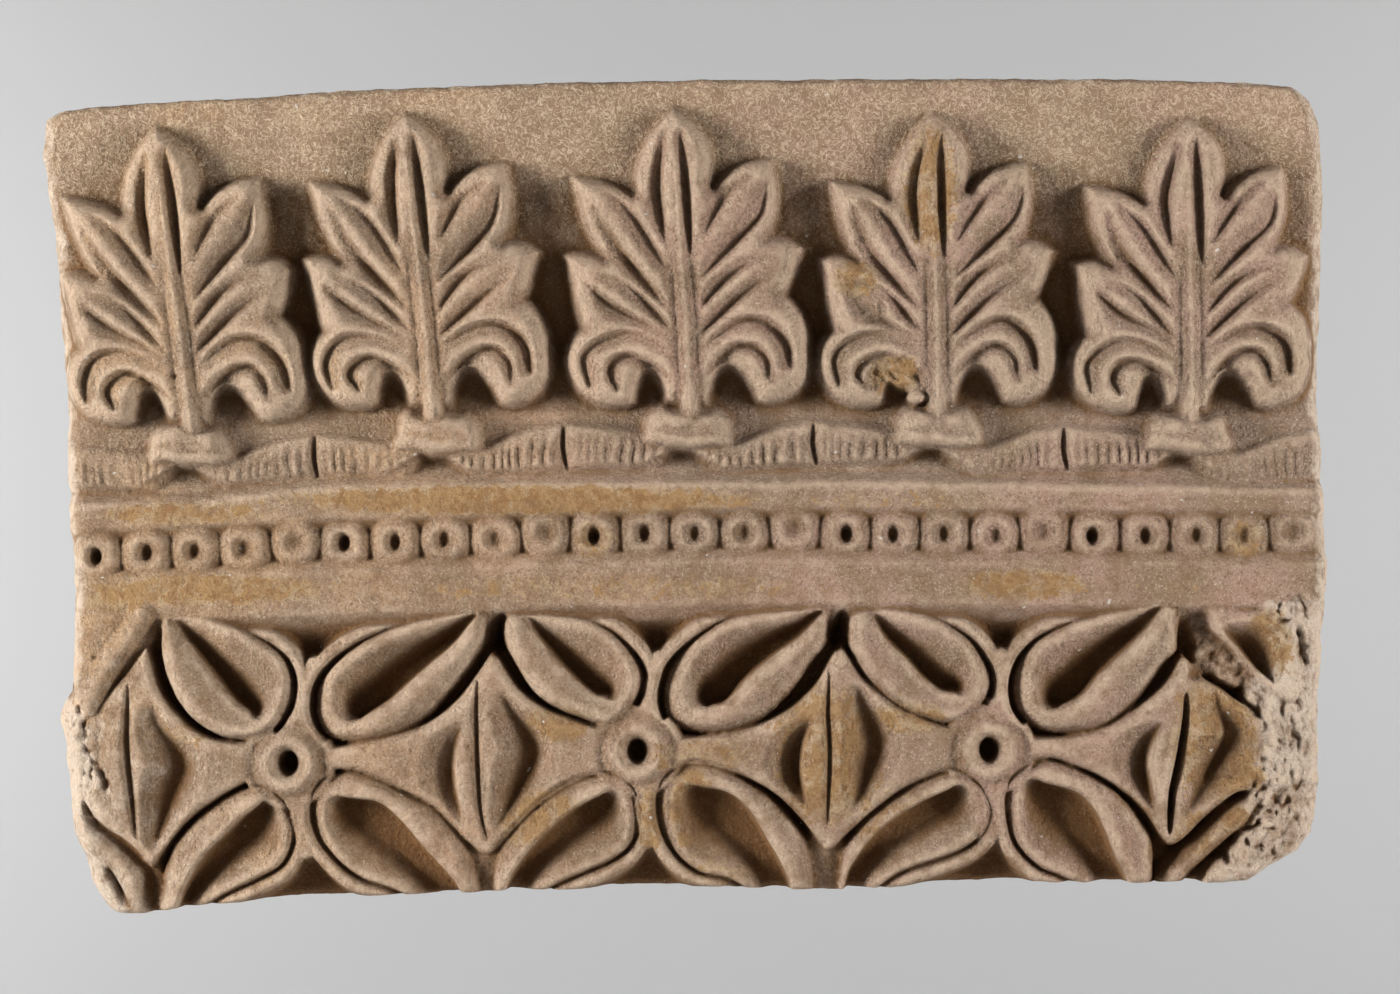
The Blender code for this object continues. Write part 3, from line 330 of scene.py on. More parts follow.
# Outline of a knot in millimetres from the tip of the hollow under it.
COLLAR = [(-15.2, 1.6), (-14.4, 6.8), (-12.4, 11.8), (-9.0, 14.0), (-2.0, 14.3), (5.0, 14.2),
          (12.0, 14.1), (16.6, 13.0), (19.6, 9.0), (21.4, 4.0), (20.6, 0.4), (15.0, -0.8),
          (7.6, -0.4), (0.0, 0.2), (-8.0, 0.4)]


def groove(points, half, depth, blunt=0.5, flank=0.0):
    """A knife cut that narrows to its ends, with softly sloping flanks beside it."""
    points = np.asarray(points, float)
    block = carving.near(points, half * 2.6)
    gap, place, _ = carving.beside(points, block)
    taper = np.sin(math.pi * np.clip(place, 0.001, 0.999)) ** blunt
    core = fading(gap, half * (0.35 + 0.65 * taper), 1.3)
    slope = smooth(1 - gap / (half * 2.5), 0, 1)
    carving.height[block] -= depth * taper * core + flank * taper * slope


def metres(millimetres):
    """Points given in millimetres, in metres."""
    return np.array(millimetres, float) / 1000


def closed(millimetres):
    """A smooth closed outline through points given in millimetres."""
    points, steps = metres(millimetres), 6
    return bent(np.concatenate([points[-2:], points, points[:2]]), steps)[2 * steps:-2 * steps - 1]


def ribbon_edges(x):
    """Top and foot of the ribbon: it rises from each knot to a seam and sags beyond it."""
    top, foot = [], []
    for k, (seam_x, seam_top, seam_foot) in enumerate(SEAMS):
        if k > 0:
            knot_x, knot_z = KNOTS[k - 1]
            top += [(knot_x + 0.026, seam_top - 0.0095), (seam_x - 0.016, seam_top - 0.0022)]
            foot += [(knot_x, knot_z), (knot_x + 0.020, seam_foot - 0.0035)]
        top.append((seam_x, seam_top))
        foot.append((seam_x, seam_foot))
        if k < len(KNOTS):
            knot_x, knot_z = KNOTS[k]
            top.append((knot_x - 0.014, seam_top - 0.0036))
            foot.append((knot_x - 0.013, seam_foot + 0.001))
    return line(top, x), line(foot, x)


def ribbon():
    """The pleated band and its seams."""
    x, z = carving.x, carving.z
    top, foot = ribbon_edges(x)
    depth = np.minimum(top - z, z - foot)
    body = RIBBON_FACE - RIBBON_EDGE_FALL * fading(depth, 0.004, 2)
    count = x / PLEAT_PITCH + 0.55 * grain(x, 0 * x, 0.013, 4) + 0.24 * grain(x, z, 0.009, 5)
    strength = np.clip(1.05 + 0.45 * grain(x, 0 * x, 0.014, 6), 0.65, 1.40)
    strength *= 0.25 + 0.75 * smooth(top - z, 0.001, 0.008)
    for seam_x, _, _ in SEAMS:
        strength *= smooth(np.abs(x - seam_x), 0.002, 0.008)
    pleats = (0.5 + 0.5 * np.cos(2 * math.pi * count)) ** 0.7
    body += PLEAT_HEIGHT * strength * pleats * smooth(depth, -0.0005, 0.003)
    wall = np.where(z > top, 1.6, 1.3)
    body = np.where(depth > 0, body, RIBBON_FACE - RIBBON_EDGE_FALL + depth * wall)
    carving.height = np.where(depth > -0.012, np.maximum(carving.height, body), carving.height)
    for seam_x, seam_top, seam_foot in SEAMS[1:-1]:
        middle = (seam_x - 0.0004, (seam_top + seam_foot) / 2)
        groove(bent([(seam_x, seam_top + 0.001), middle, (seam_x + 0.0016, seam_foot - 0.001)]),
               half=0.0015, depth=0.0048, blunt=0.30, flank=0.0014)


def knot(tip_x, tip_z, hand):
    """A broad lumpy collar under the stem, drooping at its right, over a three-sided hollow."""
    block = carving.near([(tip_x - 0.024, tip_z - 0.018), (tip_x + 0.024, tip_z + 0.003)], 0)
    x, z = carving.at(block)
    down, across = tip_z - z, x - tip_x
    half = 0.001 + np.where(across < 0, 2.0, 1.8) * np.clip(down, 0, 0.02)
    hollow = smooth(1 - np.abs(across) / half, 0, 0.30) * (1 - smooth(down, 0.005, 0.014))
    carving.height[block] -= 0.0042 * hollow * smooth(down, -0.0015, 0.0015)
    outline = [(1000 * tip_x + right, 1000 * tip_z + up) + hand.normal(0, 0.5, 2) for right, up in COLLAR]
    outline = closed(outline)
    block = carving.near(outline, 0.012)
    x, z = carving.at(block)
    across, up = x - tip_x, z - tip_z
    depth = carving.inside(outline, block) + 0.0003 * grain(across, up, 0.006, 13)
    # It is fullest left of the stem and sinks towards its drooping right end.
    lumps = 0.0011 * grain(x, z, 0.0075, 14, 2)
    full = 0.0008 * bell(across + 0.006, 0.006) - 0.0010 * smooth(across, 0.008, 0.021)
    crease = 0.0007 * bell(up - 0.0062 + 0.10 * across, 0.0013)
    top = KNOT_FACE + lumps + full - crease - KNOT_EDGE_FALL * fading(depth, 0.0046, 2.2)
    carving.fill(block, np.where(depth > 0, top, KNOT_FACE - KNOT_EDGE_FALL + depth * 2.6))


ribbon()
hand = np.random.default_rng(3)
for x, z in KNOTS:
    knot(x, z, hand)

# The fillets and beads: two plain flat mouldings with a sunk channel between them, where a
# row of rounded square beads is cut, dished and drilled, five to each palmette. The drill
# went less deep along each five, and every fifth bead sits a little higher up.
UPPER_FILLET = 0.0560
BEAD_CHANNEL = 0.0518
BEAD_FACE = 0.0562
BEAD_EDGE_FALL = 0.0030
LOWER_FILLET = 0.0572
STAR_FLOOR = 0.0425
UPPER_TOP = [(-0.303, -0.0042), (-0.235, -0.0033), (-0.192, 0.0024), (-0.159, 0.0052), (0.010, 0.0066),
             (0.102, 0.0066), (0.308, 0.0033)]
UPPER_FOOT = [(-0.303, -0.0174), (-0.180, -0.0113), (-0.091, -0.0085), (-0.002, -0.0056), (0.308, -0.0066)]
LOWER_TOP = [(-0.303, -0.0404), (-0.180, -0.0343), (-0.091, -0.0310), (0.003, -0.0282), (0.308, -0.0301)]
LOWER_FOOT = [(-0.303, -0.0602), (-0.180, -0.0564), (-0.091, -0.0526), (0.003, -0.0508), (0.308, -0.0517)]
BEAD_COUNT = 25
BEAD_START = -0.2768
BEAD_PITCH = 0.0235
BEAD_HALF_WIDTH = 0.0121
BEAD_HALF_HEIGHT = 0.0112
# Half sizes of a drilled hole, and how deep the holes of each five are.
BEAD_HOLE = (0.0023, 0.0035)
BEAD_HOLES = (0.0070, 0.0036, 0.0020, 0.0010, 0.0004)
FIFTH_BEAD_LIFT = 0.0016


def fillet(top, foot, crest, bank):
    """Height of a plain fillet, a little hollow, with rounded arrises and sloping banks."""
    x, z = carving.x, carving.z
    wander = 0.0005 * grain(x, 0 * x, 0.021, 8, 2)
    depth = np.minimum(line(top, x) + wander - z, z - line(foot, x) - wander)
    sunk = 0.0005 * smooth(depth, 0.002, 0.007)
    return crest - sunk - 0.0010 * fading(depth, 0.0028, 2) + bank * np.minimum(depth, 0)


def fillets():
    """Two plain fillets with the bead channel between, then the drop to the stars' floor."""
    below_upper = carving.z < line(UPPER_FOOT, carving.x)
    below_lower = carving.z < line(LOWER_FOOT, carving.x)
    carving.height[below_upper] = BEAD_CHANNEL
    carving.height = np.maximum(carving.height, fillet(UPPER_TOP, UPPER_FOOT, UPPER_FILLET, 1.5))
    lower = fillet(LOWER_TOP, LOWER_FOOT, LOWER_FILLET, 0.95)
    carving.height = np.maximum(carving.height, lower)
    carving.height[below_lower] = np.maximum(STAR_FLOOR, lower[below_lower])


def rounded_box(centre, half_width, half_height, power):
    """Outline between an ellipse (power 1) and a rectangle (power 0)."""
    turn = np.linspace(0, 2 * math.pi, 40, endpoint=False)
    c, s = np.cos(turn), np.sin(turn)
    x = centre[0] + half_width * np.sign(c) * np.abs(c) ** power
    z = centre[1] + half_height * np.sign(s) * np.abs(s) ** power
    return np.stack([x, z], -1)


def pit(centre, half_width, half_height, depth, mouth, ragged=0.0):
    """A round or oval hole with a funnelled mouth."""
    block = carving.near([centre], 2 * max(half_width, half_height))
    x, z = carving.at(block)
    reach = np.hypot((x - centre[0]) / half_width, (z - centre[1]) / half_height)
    reach += ragged * grain(x, z, 0.0020, 15, 2)
    carving.height[block] -= depth * smooth(1.3 - reach, 0, mouth)


def bead(centre_x, centre_z, hole, hand):
    """One bead: a rounded square ring, dished to its drilled hole."""
    half_width = BEAD_HALF_WIDTH * hand.uniform(0.96, 1.0)
    half_height = BEAD_HALF_HEIGHT * hand.uniform(0.95, 1.03)
    outline = rounded_box((centre_x, centre_z), half_width, half_height, hand.uniform(0.74, 1.0))
    block = carving.near(outline, 0.006)
    x, z = carving.at(block)
    depth = carving.inside(outline, block) + 0.0002 * grain(x, z, 0.004, 9)
    # The ring's crest lies 5 mm in from its edge, around a soft round bowl with the hole in it.
    crest = BEAD_FACE - BEAD_EDGE_FALL * fading(depth, 0.0052, 2)
    middle = (centre_x + hand.normal(0, 0.0005), centre_z + hand.normal(0, 0.0005))
    away = np.hypot((x - middle[0]) / 0.92, z - middle[1])
    bowl = (0.0022 + 0.2 * hole) * (1 - smooth(away, 0.0020, 0.0070))
    carving.fill(block, np.where(depth > 0, crest - bowl, BEAD_FACE - BEAD_EDGE_FALL + depth * 2.2))
    pit(middle, *BEAD_HOLE, hole, 0.9)


fillets()
hand = np.random.default_rng(7)
for k in range(BEAD_COUNT):
    x = BEAD_START + BEAD_PITCH * k + hand.normal(0, 0.0003)
    z = (line(UPPER_FOOT, x) + line(LOWER_TOP, x)) / 2 + FIFTH_BEAD_LIFT * (k % 5 == 4)
    bead(x, z, BEAD_HOLES[k % 5], hand)

# The band of stars: four hollow-sided stars, each with an upright slit leaf sunk into it, and
# between them rings with a drilled hole, four dished petals around each, and a narrow band
# that follows the petals. It is the proudest and the most deeply cut carving on the panel.
STAR_FACE = 0.0600
STAR_EDGE_FALL = 0.0024
PETAL_RIM = 0.0618
PETAL_EDGE_FALL = 0.0036
RINGS = [(-0.1861, -0.1250), (-0.0221, -0.1194), (0.1433, -0.1189)]
# The ridges between the petals of each ring run to these places above and below it.
FORKS = [[(-0.1742, -0.0790), (-0.1776, -0.1668)], [(-0.0120, -0.0760), (-0.0172, -0.1620)],
         [(0.1492, -0.0745), (0.1416, -0.1618)]]
# Where the petals of two rings meet, above and below the stars between them.
MEET_TOP = [(-0.0856, -0.0536), (0.0747, -0.0522)]
MEET_FOOT = [(-0.0940, -0.1847), (0.0658, -0.1828)]
BAND_FACE = 0.0594
BAND_HALF = 0.0030
BAND_FALL = 0.0020
HUB_HALF = 0.0215
# Distance from a ring's middle to its crest, and half sizes of its hole.
RING_CREST = 0.0104
RING_HOLE = (0.0034, 0.0047)
# How each kind of petal is cut. side: the side of the brink on which the dish lies (1 left of
# its line, -1 right); crest: where the bar is highest, from its outer edge 0 to its brink 1;
# outward, inward: how far it falls to each; drop: the width of the fall off the brink; dish,
# flat, bend: the dish's depth, the share of its width that is its bottom, and how fast its
# slope flattens towards the far rim; moat, star_moat, sunk: width of the cut around the dish
# and along the star, and its depth; lower: whether the petal runs off the panel's foot.
LOWER_CUT = dict(crest=0.90, inward=0.0006, drop=0.0022, moat=0.0017, star_moat=0.0017, sunk=0.0029,
                 lower=True)
PETAL_CUTS = {
    "upper right": dict(side=1, crest=0.30, outward=0.0032, inward=0.0034, drop=0.0042, dish=0.0178,
                        flat=0.10, bend=1.4, moat=0.0024, star_moat=0.0026, sunk=0.0120, lower=False),
    "upper left": dict(side=-1, crest=0.72, outward=0.0066, inward=0.0010, drop=0.0014, dish=0.0240,
                       flat=0.13, bend=1.4, moat=0.0030, star_moat=0.0052, sunk=0.0140, lower=False),
    "lower right": dict(LOWER_CUT, side=-1, outward=0.0046, dish=0.0140, flat=0.30, bend=1.2),
    "lower left": dict(LOWER_CUT, side=1, outward=0.0044, dish=0.0135, flat=0.44, bend=1.1),
}
# Outline and brink of each petal in millimetres, ring by ring; the brink, where the bar drops to
# the dish, runs from the petal's tip to its ring end.
PETALS = [
    ("upper right",
     [(-243.5, -56.3), (-245.9, -67.1), (-244.4, -80.2), (-238.3, -95.2), (-228.5, -106.5),
      (-213.9, -113.5), (-198, -112.6), (-188.1, -102.3), (-184.4, -89.6), (-187.7, -76.5), (-198, -67.6),
      (-213.9, -60.1), (-229.4, -55.8)],
     [(-241.2, -58.2), (-234.6, -68.5), (-227.1, -78.4), (-219.6, -88.2), (-212.1, -96.6),
      (-204.6, -101.8)]),
    ("upper left",
     [(-91.5, -54), (-109.8, -55.8), (-127.6, -59.1), (-143.6, -64.7), (-159.1, -74.1), (-169.8, -85.9),
      (-173.1, -99), (-167, -112.1), (-151.1, -115.9), (-134.2, -111.7), (-121.5, -104.2), (-109.8, -91.5),
      (-99.5, -78.4), (-91.5, -64.3)],
     [(-99.5, -58.6), (-108.9, -69.9), (-119.2, -78.8), (-129.5, -87.7), (-138.9, -96.2),
      (-150.1, -103.2)]),
    ("lower right",
     [(-247.7, -200.8), (-245.9, -184.4), (-241.2, -166.6), (-231.8, -154.4), (-220, -144.5),
      (-206.9, -137.5), (-195.2, -137.9), (-186.3, -147.8), (-183.9, -160), (-189.6, -172.7),
      (-203.6, -180.6), (-220, -188.6), (-236.5, -200.8)],
     [(-240.2, -200.8), (-235.5, -184.4), (-225.7, -168), (-216.8, -158.6), (-207.8, -149.7),
      (-199.9, -144)]),
    ("lower left",
     [(-159.1, -128.6), (-142.6, -133.2), (-130.9, -139.3), (-116.8, -147.3), (-106, -157.6),
      (-98.5, -170.3), (-93.8, -185.3), (-92, -200.8), (-114.5, -200.8), (-133.3, -185.8),
      (-151.1, -179.2), (-163.7, -169.4), (-172.7, -157.2), (-174.1, -142.2), (-168.4, -132.3)],
     [(-99.5, -200.8), (-105.1, -183.4), (-111.7, -175), (-122, -163.7), (-132.3, -151.5),
      (-143.6, -142.6), (-158.1, -140.8)]),
    ("upper right",
     [(-81.6, -55.4), (-84.9, -65.2), (-80.2, -76.5), (-71.8, -90.5), (-61.5, -98.5), (-46.5, -104.6),
      (-33.8, -107.9), (-24.4, -98.1), (-19.7, -85.9), (-24.4, -74.1), (-37.1, -61.9), (-51.1, -56.8),
      (-67.6, -55.4)],
     [(-76, -56.8), (-68.5, -68), (-60.1, -78.4), (-51.1, -87.3), (-43.2, -93.4), (-37.5, -94.8)]),
    ("upper left",
     [(68, -53.5), (52.1, -53.5), (34.2, -54.9), (19.2, -58.6), (5.2, -67.6), (-5.6, -80.2),
      (-9.4, -94.3), (-5.6, -105.6), (6.6, -110.7), (21.6, -110.7), (36.6, -104.2), (49.7, -92.4),
      (60, -77.9), (68.5, -66.2)],
     [(63.8, -56.3), (54.4, -66.2), (41.7, -75.1), (30, -84.9), (20.6, -95.7), (13.1, -98.1)]),
    ("lower right",
     [(-92.9, -200.8), (-91, -182), (-87.7, -165.6), (-80.7, -156.2), (-70.9, -145.9), (-59.6, -137.5),
      (-47.4, -131.8), (-34.7, -130.4), (-25.3, -136.5), (-21.1, -149.2), (-24.9, -162.3), (-34.7, -170.8),
      (-51.1, -177.8), (-65.2, -185.3), (-77, -200.8)],
     [(-86.8, -200.8), (-84, -183.4), (-78.8, -173.1), (-71.3, -163.3), (-61.9, -154.4), (-51.1, -145.4),
      (-39.9, -139.8)]),
    ("lower left",
     [(2.8, -124.8), (16.9, -127.1), (29.6, -133.7), (41.3, -142.2), (51.1, -152.5), (58.2, -163.3),
      (61.9, -182), (63.8, -200.8), (40.3, -200.8), (26.3, -181.6), (7.5, -175.9), (-5.2, -165.6),
      (-11.3, -151.5), (-10.8, -136.5), (-3.8, -128.1)],
     [(54.4, -200.8), (49.7, -179.7), (44.6, -168.9), (38.5, -158.1), (31.9, -147.3), (21.6, -138.4),
      (8.4, -135.6)]),
    ("upper right",
     [(80.7, -54), (76.9, -63.3), (79.3, -74.1), (87.3, -86.8), (99, -97.6), (113.1, -103.7),
      (127.1, -106.5), (138.9, -99), (144, -86.3), (137, -70.8), (124.8, -60.5), (108.4, -54.4), (92, -53)],
     [(86.3, -55.8), (93.8, -67.1), (103.7, -77.4), (111.7, -85.9), (120.1, -92), (127.1, -92.9)]),
    ("upper left",
     [(232.7, -51.1), (213.9, -52.5), (195.2, -55.8), (176.4, -61.9), (162.3, -71.8), (155.8, -86.8),
      (157.6, -99.9), (167, -108.8), (183.4, -111.2), (198, -108.4), (210.2, -99.5), (219.6, -87.7),
      (227.1, -76.9), (232.7, -69.4)],
     [(224.3, -53), (216.8, -63.3), (206.4, -73.2), (195.6, -84), (187.2, -93.8), (177.3, -98.5)]),
    ("lower right",
     [(69.4, -200.8), (72.2, -181.6), (74.6, -166.6), (82.6, -155.3), (95.7, -144), (109.8, -134.7),
      (124.8, -128.6), (135.1, -132.8), (142.6, -144.5), (141.2, -155.8), (131.8, -164.7), (115.4, -171.2),
      (99, -177.3), (86.3, -189.1), (80.2, -200.8)],
     [(73.2, -200.8), (75.5, -178.8), (80.7, -168.4), (89.1, -158.1), (101.3, -148.7), (113.1, -141.7),
      (124.8, -136.5)]),
    ("lower left",
     [(168, -123.4), (180.2, -126.2), (193.3, -132.3), (205.5, -140.8), (214.4, -151.5), (220, -162.3),
      (220.5, -180.6), (221.4, -200.8), (199.9, -200.8), (183.9, -181.6), (168, -174.1), (156.7, -162.8),
      (152.5, -147.8), (153.9, -134.2), (160.4, -127.1)],
     [(213.9, -200.8), (208.3, -178.8), (203.1, -168), (198.9, -157.2), (193.3, -145.9), (184.8, -137.9),
      (168.9, -133.2)]),
]
# Outline of each star in millimetres, the valleys left and right of its leaf, and the slit.
STARS = [
    ([(-252, -70.8), (-260.9, -82.1), (-268.4, -90.5), (-274.9, -99.5), (-281.5, -107.4),
      (-282.4, -123.4), (-281.5, -142.2), (-274, -153.9), (-264.6, -160), (-256.6, -166.6),
      (-250.5, -174.5), (-245.9, -168.9), (-240.2, -160), (-231.8, -150.6), (-219.1, -141.2),
      (-206, -134.2), (-195.2, -130.9), (-195.2, -116.8), (-210.7, -115.9), (-224.7, -113.1),
      (-237.4, -103.2), (-245.9, -91.5), (-249.6, -80.2)],
     [(-273.5, -97.2), (-274.5, -114), (-272.6, -132.5), (-267.5, -149.2)],
     [(-249.6, -95.2), (-247.7, -108.4), (-236.5, -124.8), (-242.1, -142.2), (-247.7, -160),
      (-249.6, -168.4)],
     [(-260.9, -86.8), (-261.8, -116.4), (-259.9, -137.5), (-257.1, -161.9)]),
    ([(-89.1, -72.7), (-95.2, -80.2), (-102.3, -90.5), (-111.2, -99.9), (-121.5, -107), (-135.6, -112.1),
      (-156.7, -116.8), (-172.7, -119.6), (-172.7, -128.1), (-156.7, -128.1), (-140.3, -133.7),
      (-128.6, -139.3), (-115.9, -146.9), (-107, -156.2), (-99.5, -163.7), (-91, -167.5), (-81.6, -157.6),
      (-69.9, -145.9), (-58.2, -137.9), (-46.5, -131.8), (-32.4, -127.1), (-32.4, -112.1), (-46.5, -107),
      (-58.2, -102.7), (-67.6, -98.1), (-77, -91), (-83, -82.6)],
     [(-103.7, -105.6), (-108.4, -117.8), (-109.8, -130.4), (-107.4, -142.2), (-103.2, -154.4)],
     [(-86.3, -90.5), (-81.6, -100.9), (-70.9, -119.6), (-78.4, -137.5), (-84.5, -149.2), (-88.2, -156.2)],
     [(-96.2, -82.1), (-97.6, -97.6), (-97.1, -123.4), (-95.7, -146.9), (-92, -161.9)]),
    ([(73.7, -69.4), (68.5, -76.5), (63.8, -85.9), (56.8, -93.8), (47.4, -101.3), (33.3, -107.9),
      (16.9, -112.1), (-8.5, -114.9), (-8.5, -126.2), (7.5, -125.3), (23.9, -129.5), (35.2, -134.7),
      (46, -141.7), (55.4, -151.5), (61.9, -159.5), (67.6, -165.6), (75.5, -159.5), (87.3, -148.7),
      (101.3, -137.9), (117.8, -130), (130.4, -127.1), (130.4, -111.2), (117.8, -106.5), (103.7, -100.4),
      (92.9, -92.4), (83.5, -84.5), (77.9, -75.5)],
     [(60, -104.6), (54.9, -114.9), (53, -125.7), (54.4, -135.1), (58.2, -145)],
     [(80.2, -87.7), (84.4, -99), (91, -115.9), (86.3, -130.4), (82.6, -139.8), (78.8, -147.8)],
     [(68.5, -80.2), (67.6, -99.9), (68.5, -119.6), (68, -137.5), (67.1, -154.4)]),
    ([(234.6, -74.6), (228, -85.9), (219.6, -94.3), (209.2, -101.8), (197.5, -108.8), (181.1, -113.1),
      (156.7, -114.9), (156.7, -125.3), (171.7, -122.5), (185.8, -126.7), (198, -132.3), (209.2, -140.3),
      (217.7, -149.2), (223.3, -158.1), (228.5, -163.7), (236, -160), (243, -152.5), (250.1, -145.9),
      (259.4, -139.3), (269.3, -135.6), (273.1, -123.4), (273.1, -108.4), (266.5, -101.3), (259.4, -95.7),
      (252.4, -90.5), (244.4, -85.9), (239.7, -80.2)],
     [(225.2, -105.6), (218.6, -115.9), (216.3, -125.7), (218.6, -136.5), (221.4, -147.8)],
     [(249.6, -90.5), (251.9, -100.9), (259, -113.1), (247.7, -129), (241.1, -140.8), (234.6, -150.6)],
     [(236, -92.4), (235.5, -107), (232.7, -124.3), (229.4, -139.8), (228, -158.1)]),
]
# Half width and depth of each star's slit, and the depths of its valleys.
SLITS = [(0.0024, 0.0030), (0.0014, 0.0036), (0.0011, 0.0044), (0.0024, 0.0140)]
VALLEYS = [(0.0034, 0.0115), (0.0090, 0.0125), (0.0140, 0.0130), (0.0120, 0.0120)]


def raised(outline, crest, edge, fall, wall):
    """A flat-topped form whose edge rounds off by fall over edge, then drops steeply."""
    block = carving.near(outline, 0.012)
    depth = carving.inside(outline, block)
    top = crest - fall * fading(depth, edge, 2)
    carving.fill(block, np.where(depth > 0, top, crest - fall + depth * wall))


def ridge(points, half, crest, fall, wall=5.0):
    """A rounded ridge along a line of points."""
    points = np.asarray(points, float)
    block = carving.near(points, 0.012)
    gap, _, _ = carving.beside(points, block)
    top = crest - fall * np.clip(gap / half, 0, 1) ** 2
    carving.fill(block, np.where(gap < half, top, crest - fall - (gap - half) * wall))


def curve(millimetres):
    """A smooth line through points given in millimetres."""
    return bent(metres(millimetres))


def petal_bed(block, depth, dished, moat, star_moat, sunk, lower):
    """The narrow band beside a petal's outer edge, and the moat between the two."""
    x, z = carving.at(block)
    below_fillet = line(LOWER_FOOT, x) - z
    clear = smooth(below_fillet, 0.004, 0.030)
    moat = np.where(dished, moat * (0.35 + 0.65 * clear), star_moat)
    beyond = np.abs(-depth - moat - BAND_HALF)
    band = BAND_FACE - BAND_FALL * np.clip(beyond / BAND_HALF, 0, 1) ** 2
    band = np.where(beyond < BAND_HALF, band, BAND_FACE - BAND_FALL - (beyond - BAND_HALF) * 5)
    band -= 0.0200 * (1 - smooth(below_fillet, -0.0010, 0.0075))
    carving.fill(block, np.where(dished, band, 0))
    trench = smooth(np.minimum(-depth, depth + moat), -0.0006, 0.0009)
    beside_star = smooth(z, -0.176, -0.160) if lower else 0
    trench *= np.where(dished, 0.30 + 0.70 * clear, beside_star)
    cut = np.minimum(carving.height[block], STAR_FACE - sunk * trench)
    carving.height[block] = np.where(trench > 0, cut, carving.height[block])


def petal(outline, brink, side, crest, outward, inward, drop, dish, flat, bend, moat, star_moat, sunk,
          lower):
    """A petal: a thick bar along the star's side, and a dish that drops off the bar's brink."""
    outline, brink = closed(outline), curve(brink)
    block = carving.near(outline, star_moat + 2 * BAND_HALF + 0.005)
    x, z = carving.at(block)
    depth = carving.inside(outline, block) + 0.0003 * grain(x, z, 0.008, 51, 2)
    off, _, facing = carving.beside(brink, block)
    off = off + 0.0002 * grain(x, z, 0.006, 52, 2)
    dished = facing * side > 0
    petal_bed(block, depth, dished, moat, star_moat, sunk, lower)
    # From the petal's edge across the bar and the dish to its far edge.
    share = np.clip(off / (off + np.maximum(depth, 1e-5)), 0, 1)
    level = 1 - share
    bar = outward * fading(level, crest, 2)
    bar += inward * np.clip((level - crest) / (1 - crest), 0, 1) ** 1.5
    bowl = fading(share - flat, 0.96 - flat, bend) * smooth(off, 0, drop)
    hollow = inward * (1 - smooth(share, 0, 0.5)) + dish * bowl
    # Past the brink's ring end the dish closes in a round fan.
    end_x, end_z = brink[-1]
    way = (brink[-1] - brink[-5]) / np.hypot(*(brink[-1] - brink[-5]))
    ahead = (x - end_x) * way[0] + (z - end_z) * way[1]
    aside = side * ((z - end_z) * way[0] - (x - end_x) * way[1])
    fan = smooth(aside / np.maximum(np.hypot(ahead, aside), 1e-6), -0.35, 0.90)
    fan = np.where(ahead > 0, fan * (1 - smooth(ahead, 0, 0.016)), dished)
    fall = fan * hollow + (1 - fan) * bar
    top = PETAL_RIM - fall - PETAL_EDGE_FALL * fading(depth, 0.0062, 2.2)
    face = np.where(depth > 0, top, PETAL_RIM - PETAL_EDGE_FALL + depth * 14)
    if lower:
        combed = np.abs(grain(x + z, 0.16 * (x - z), 0.0016, 55, 2))
        face = face - 0.0007 * (0.4 - combed) * fan * smooth(depth, 0.002, 0.006)
    carving.fill(block, face)


def valley(millimetres, depth, left, right, bend=1.5):
    """A cut deepest half-way, whose two flanks reach different distances."""
    points = curve(millimetres)
    block = carving.near(points, max(left, right))
    gap, place, side = carving.beside(points, block)
    middle = np.sin(math.pi * np.clip(place, 0.001, 0.999))
    reach = np.where(side > 0, left, right) * (0.25 + 0.75 * middle)
    carving.height[block] -= depth * middle ** 0.8 * fading(gap, reach, bend)


def star(outline, left, right, slit, left_depth, right_depth, slit_half, slit_depth):
    """A star with concave sides, hollowed around an upright leaf that is slit down its middle."""
    outline = closed(outline)
    block = carving.near(outline, 0.005)
    depth = carving.inside(outline, block) + 0.0002 * grain(*carving.at(block), 0.008, 53, 2)
    top = STAR_FACE - STAR_EDGE_FALL * fading(depth, 0.0050, 2)
    carving.fill(block, np.where(depth > 0, top, STAR_FACE - STAR_EDGE_FALL + depth * 12))
    valley(left, left_depth, 0.0036, 0.0165, 1.35)
    valley(right, right_depth, 0.0120, 0.0175, 1.15)
    valley(slit, 0.0024, 0.0050, 0.0050, 1.6)
    groove(curve(slit), slit_half, slit_depth, 0.35)


def ring(centre):
    """A soft round ring with a small deep hole, standing a little above the arms around it."""
    block = carving.near([centre], 0.024)
    x, z = carving.at(block)
    x, z = x - centre[0], z - centre[1]
    reach = np.hypot(x, z) + 0.0005 * grain(x, z, 0.008, 54)
    carving.fill(block, np.where(reach < 0.0156, BAND_FACE - np.clip(reach - 0.0140, 0, 1), 0))
    swell = 0.0032 * bell(reach - RING_CREST, 0.0040) - 0.0013 * bell(reach - 0.0166, 0.0024)
    carving.height[block] += np.where(carving.height[block] > STAR_FACE - 0.006, swell, 0)
    carving.height[block] -= 0.0045 * (1 - smooth(reach, 0.0030, 0.0096))
    pit(centre, *RING_HOLE, 0.0150, 0.5)


def hub(centre):
    """The plain plaster left standing around a ring, from which petals and moats are cut."""
    raised(rounded_box(centre, HUB_HALF, HUB_HALF, 1.0), crest=BAND_FACE, edge=0.003, fall=0.0010, wall=8)


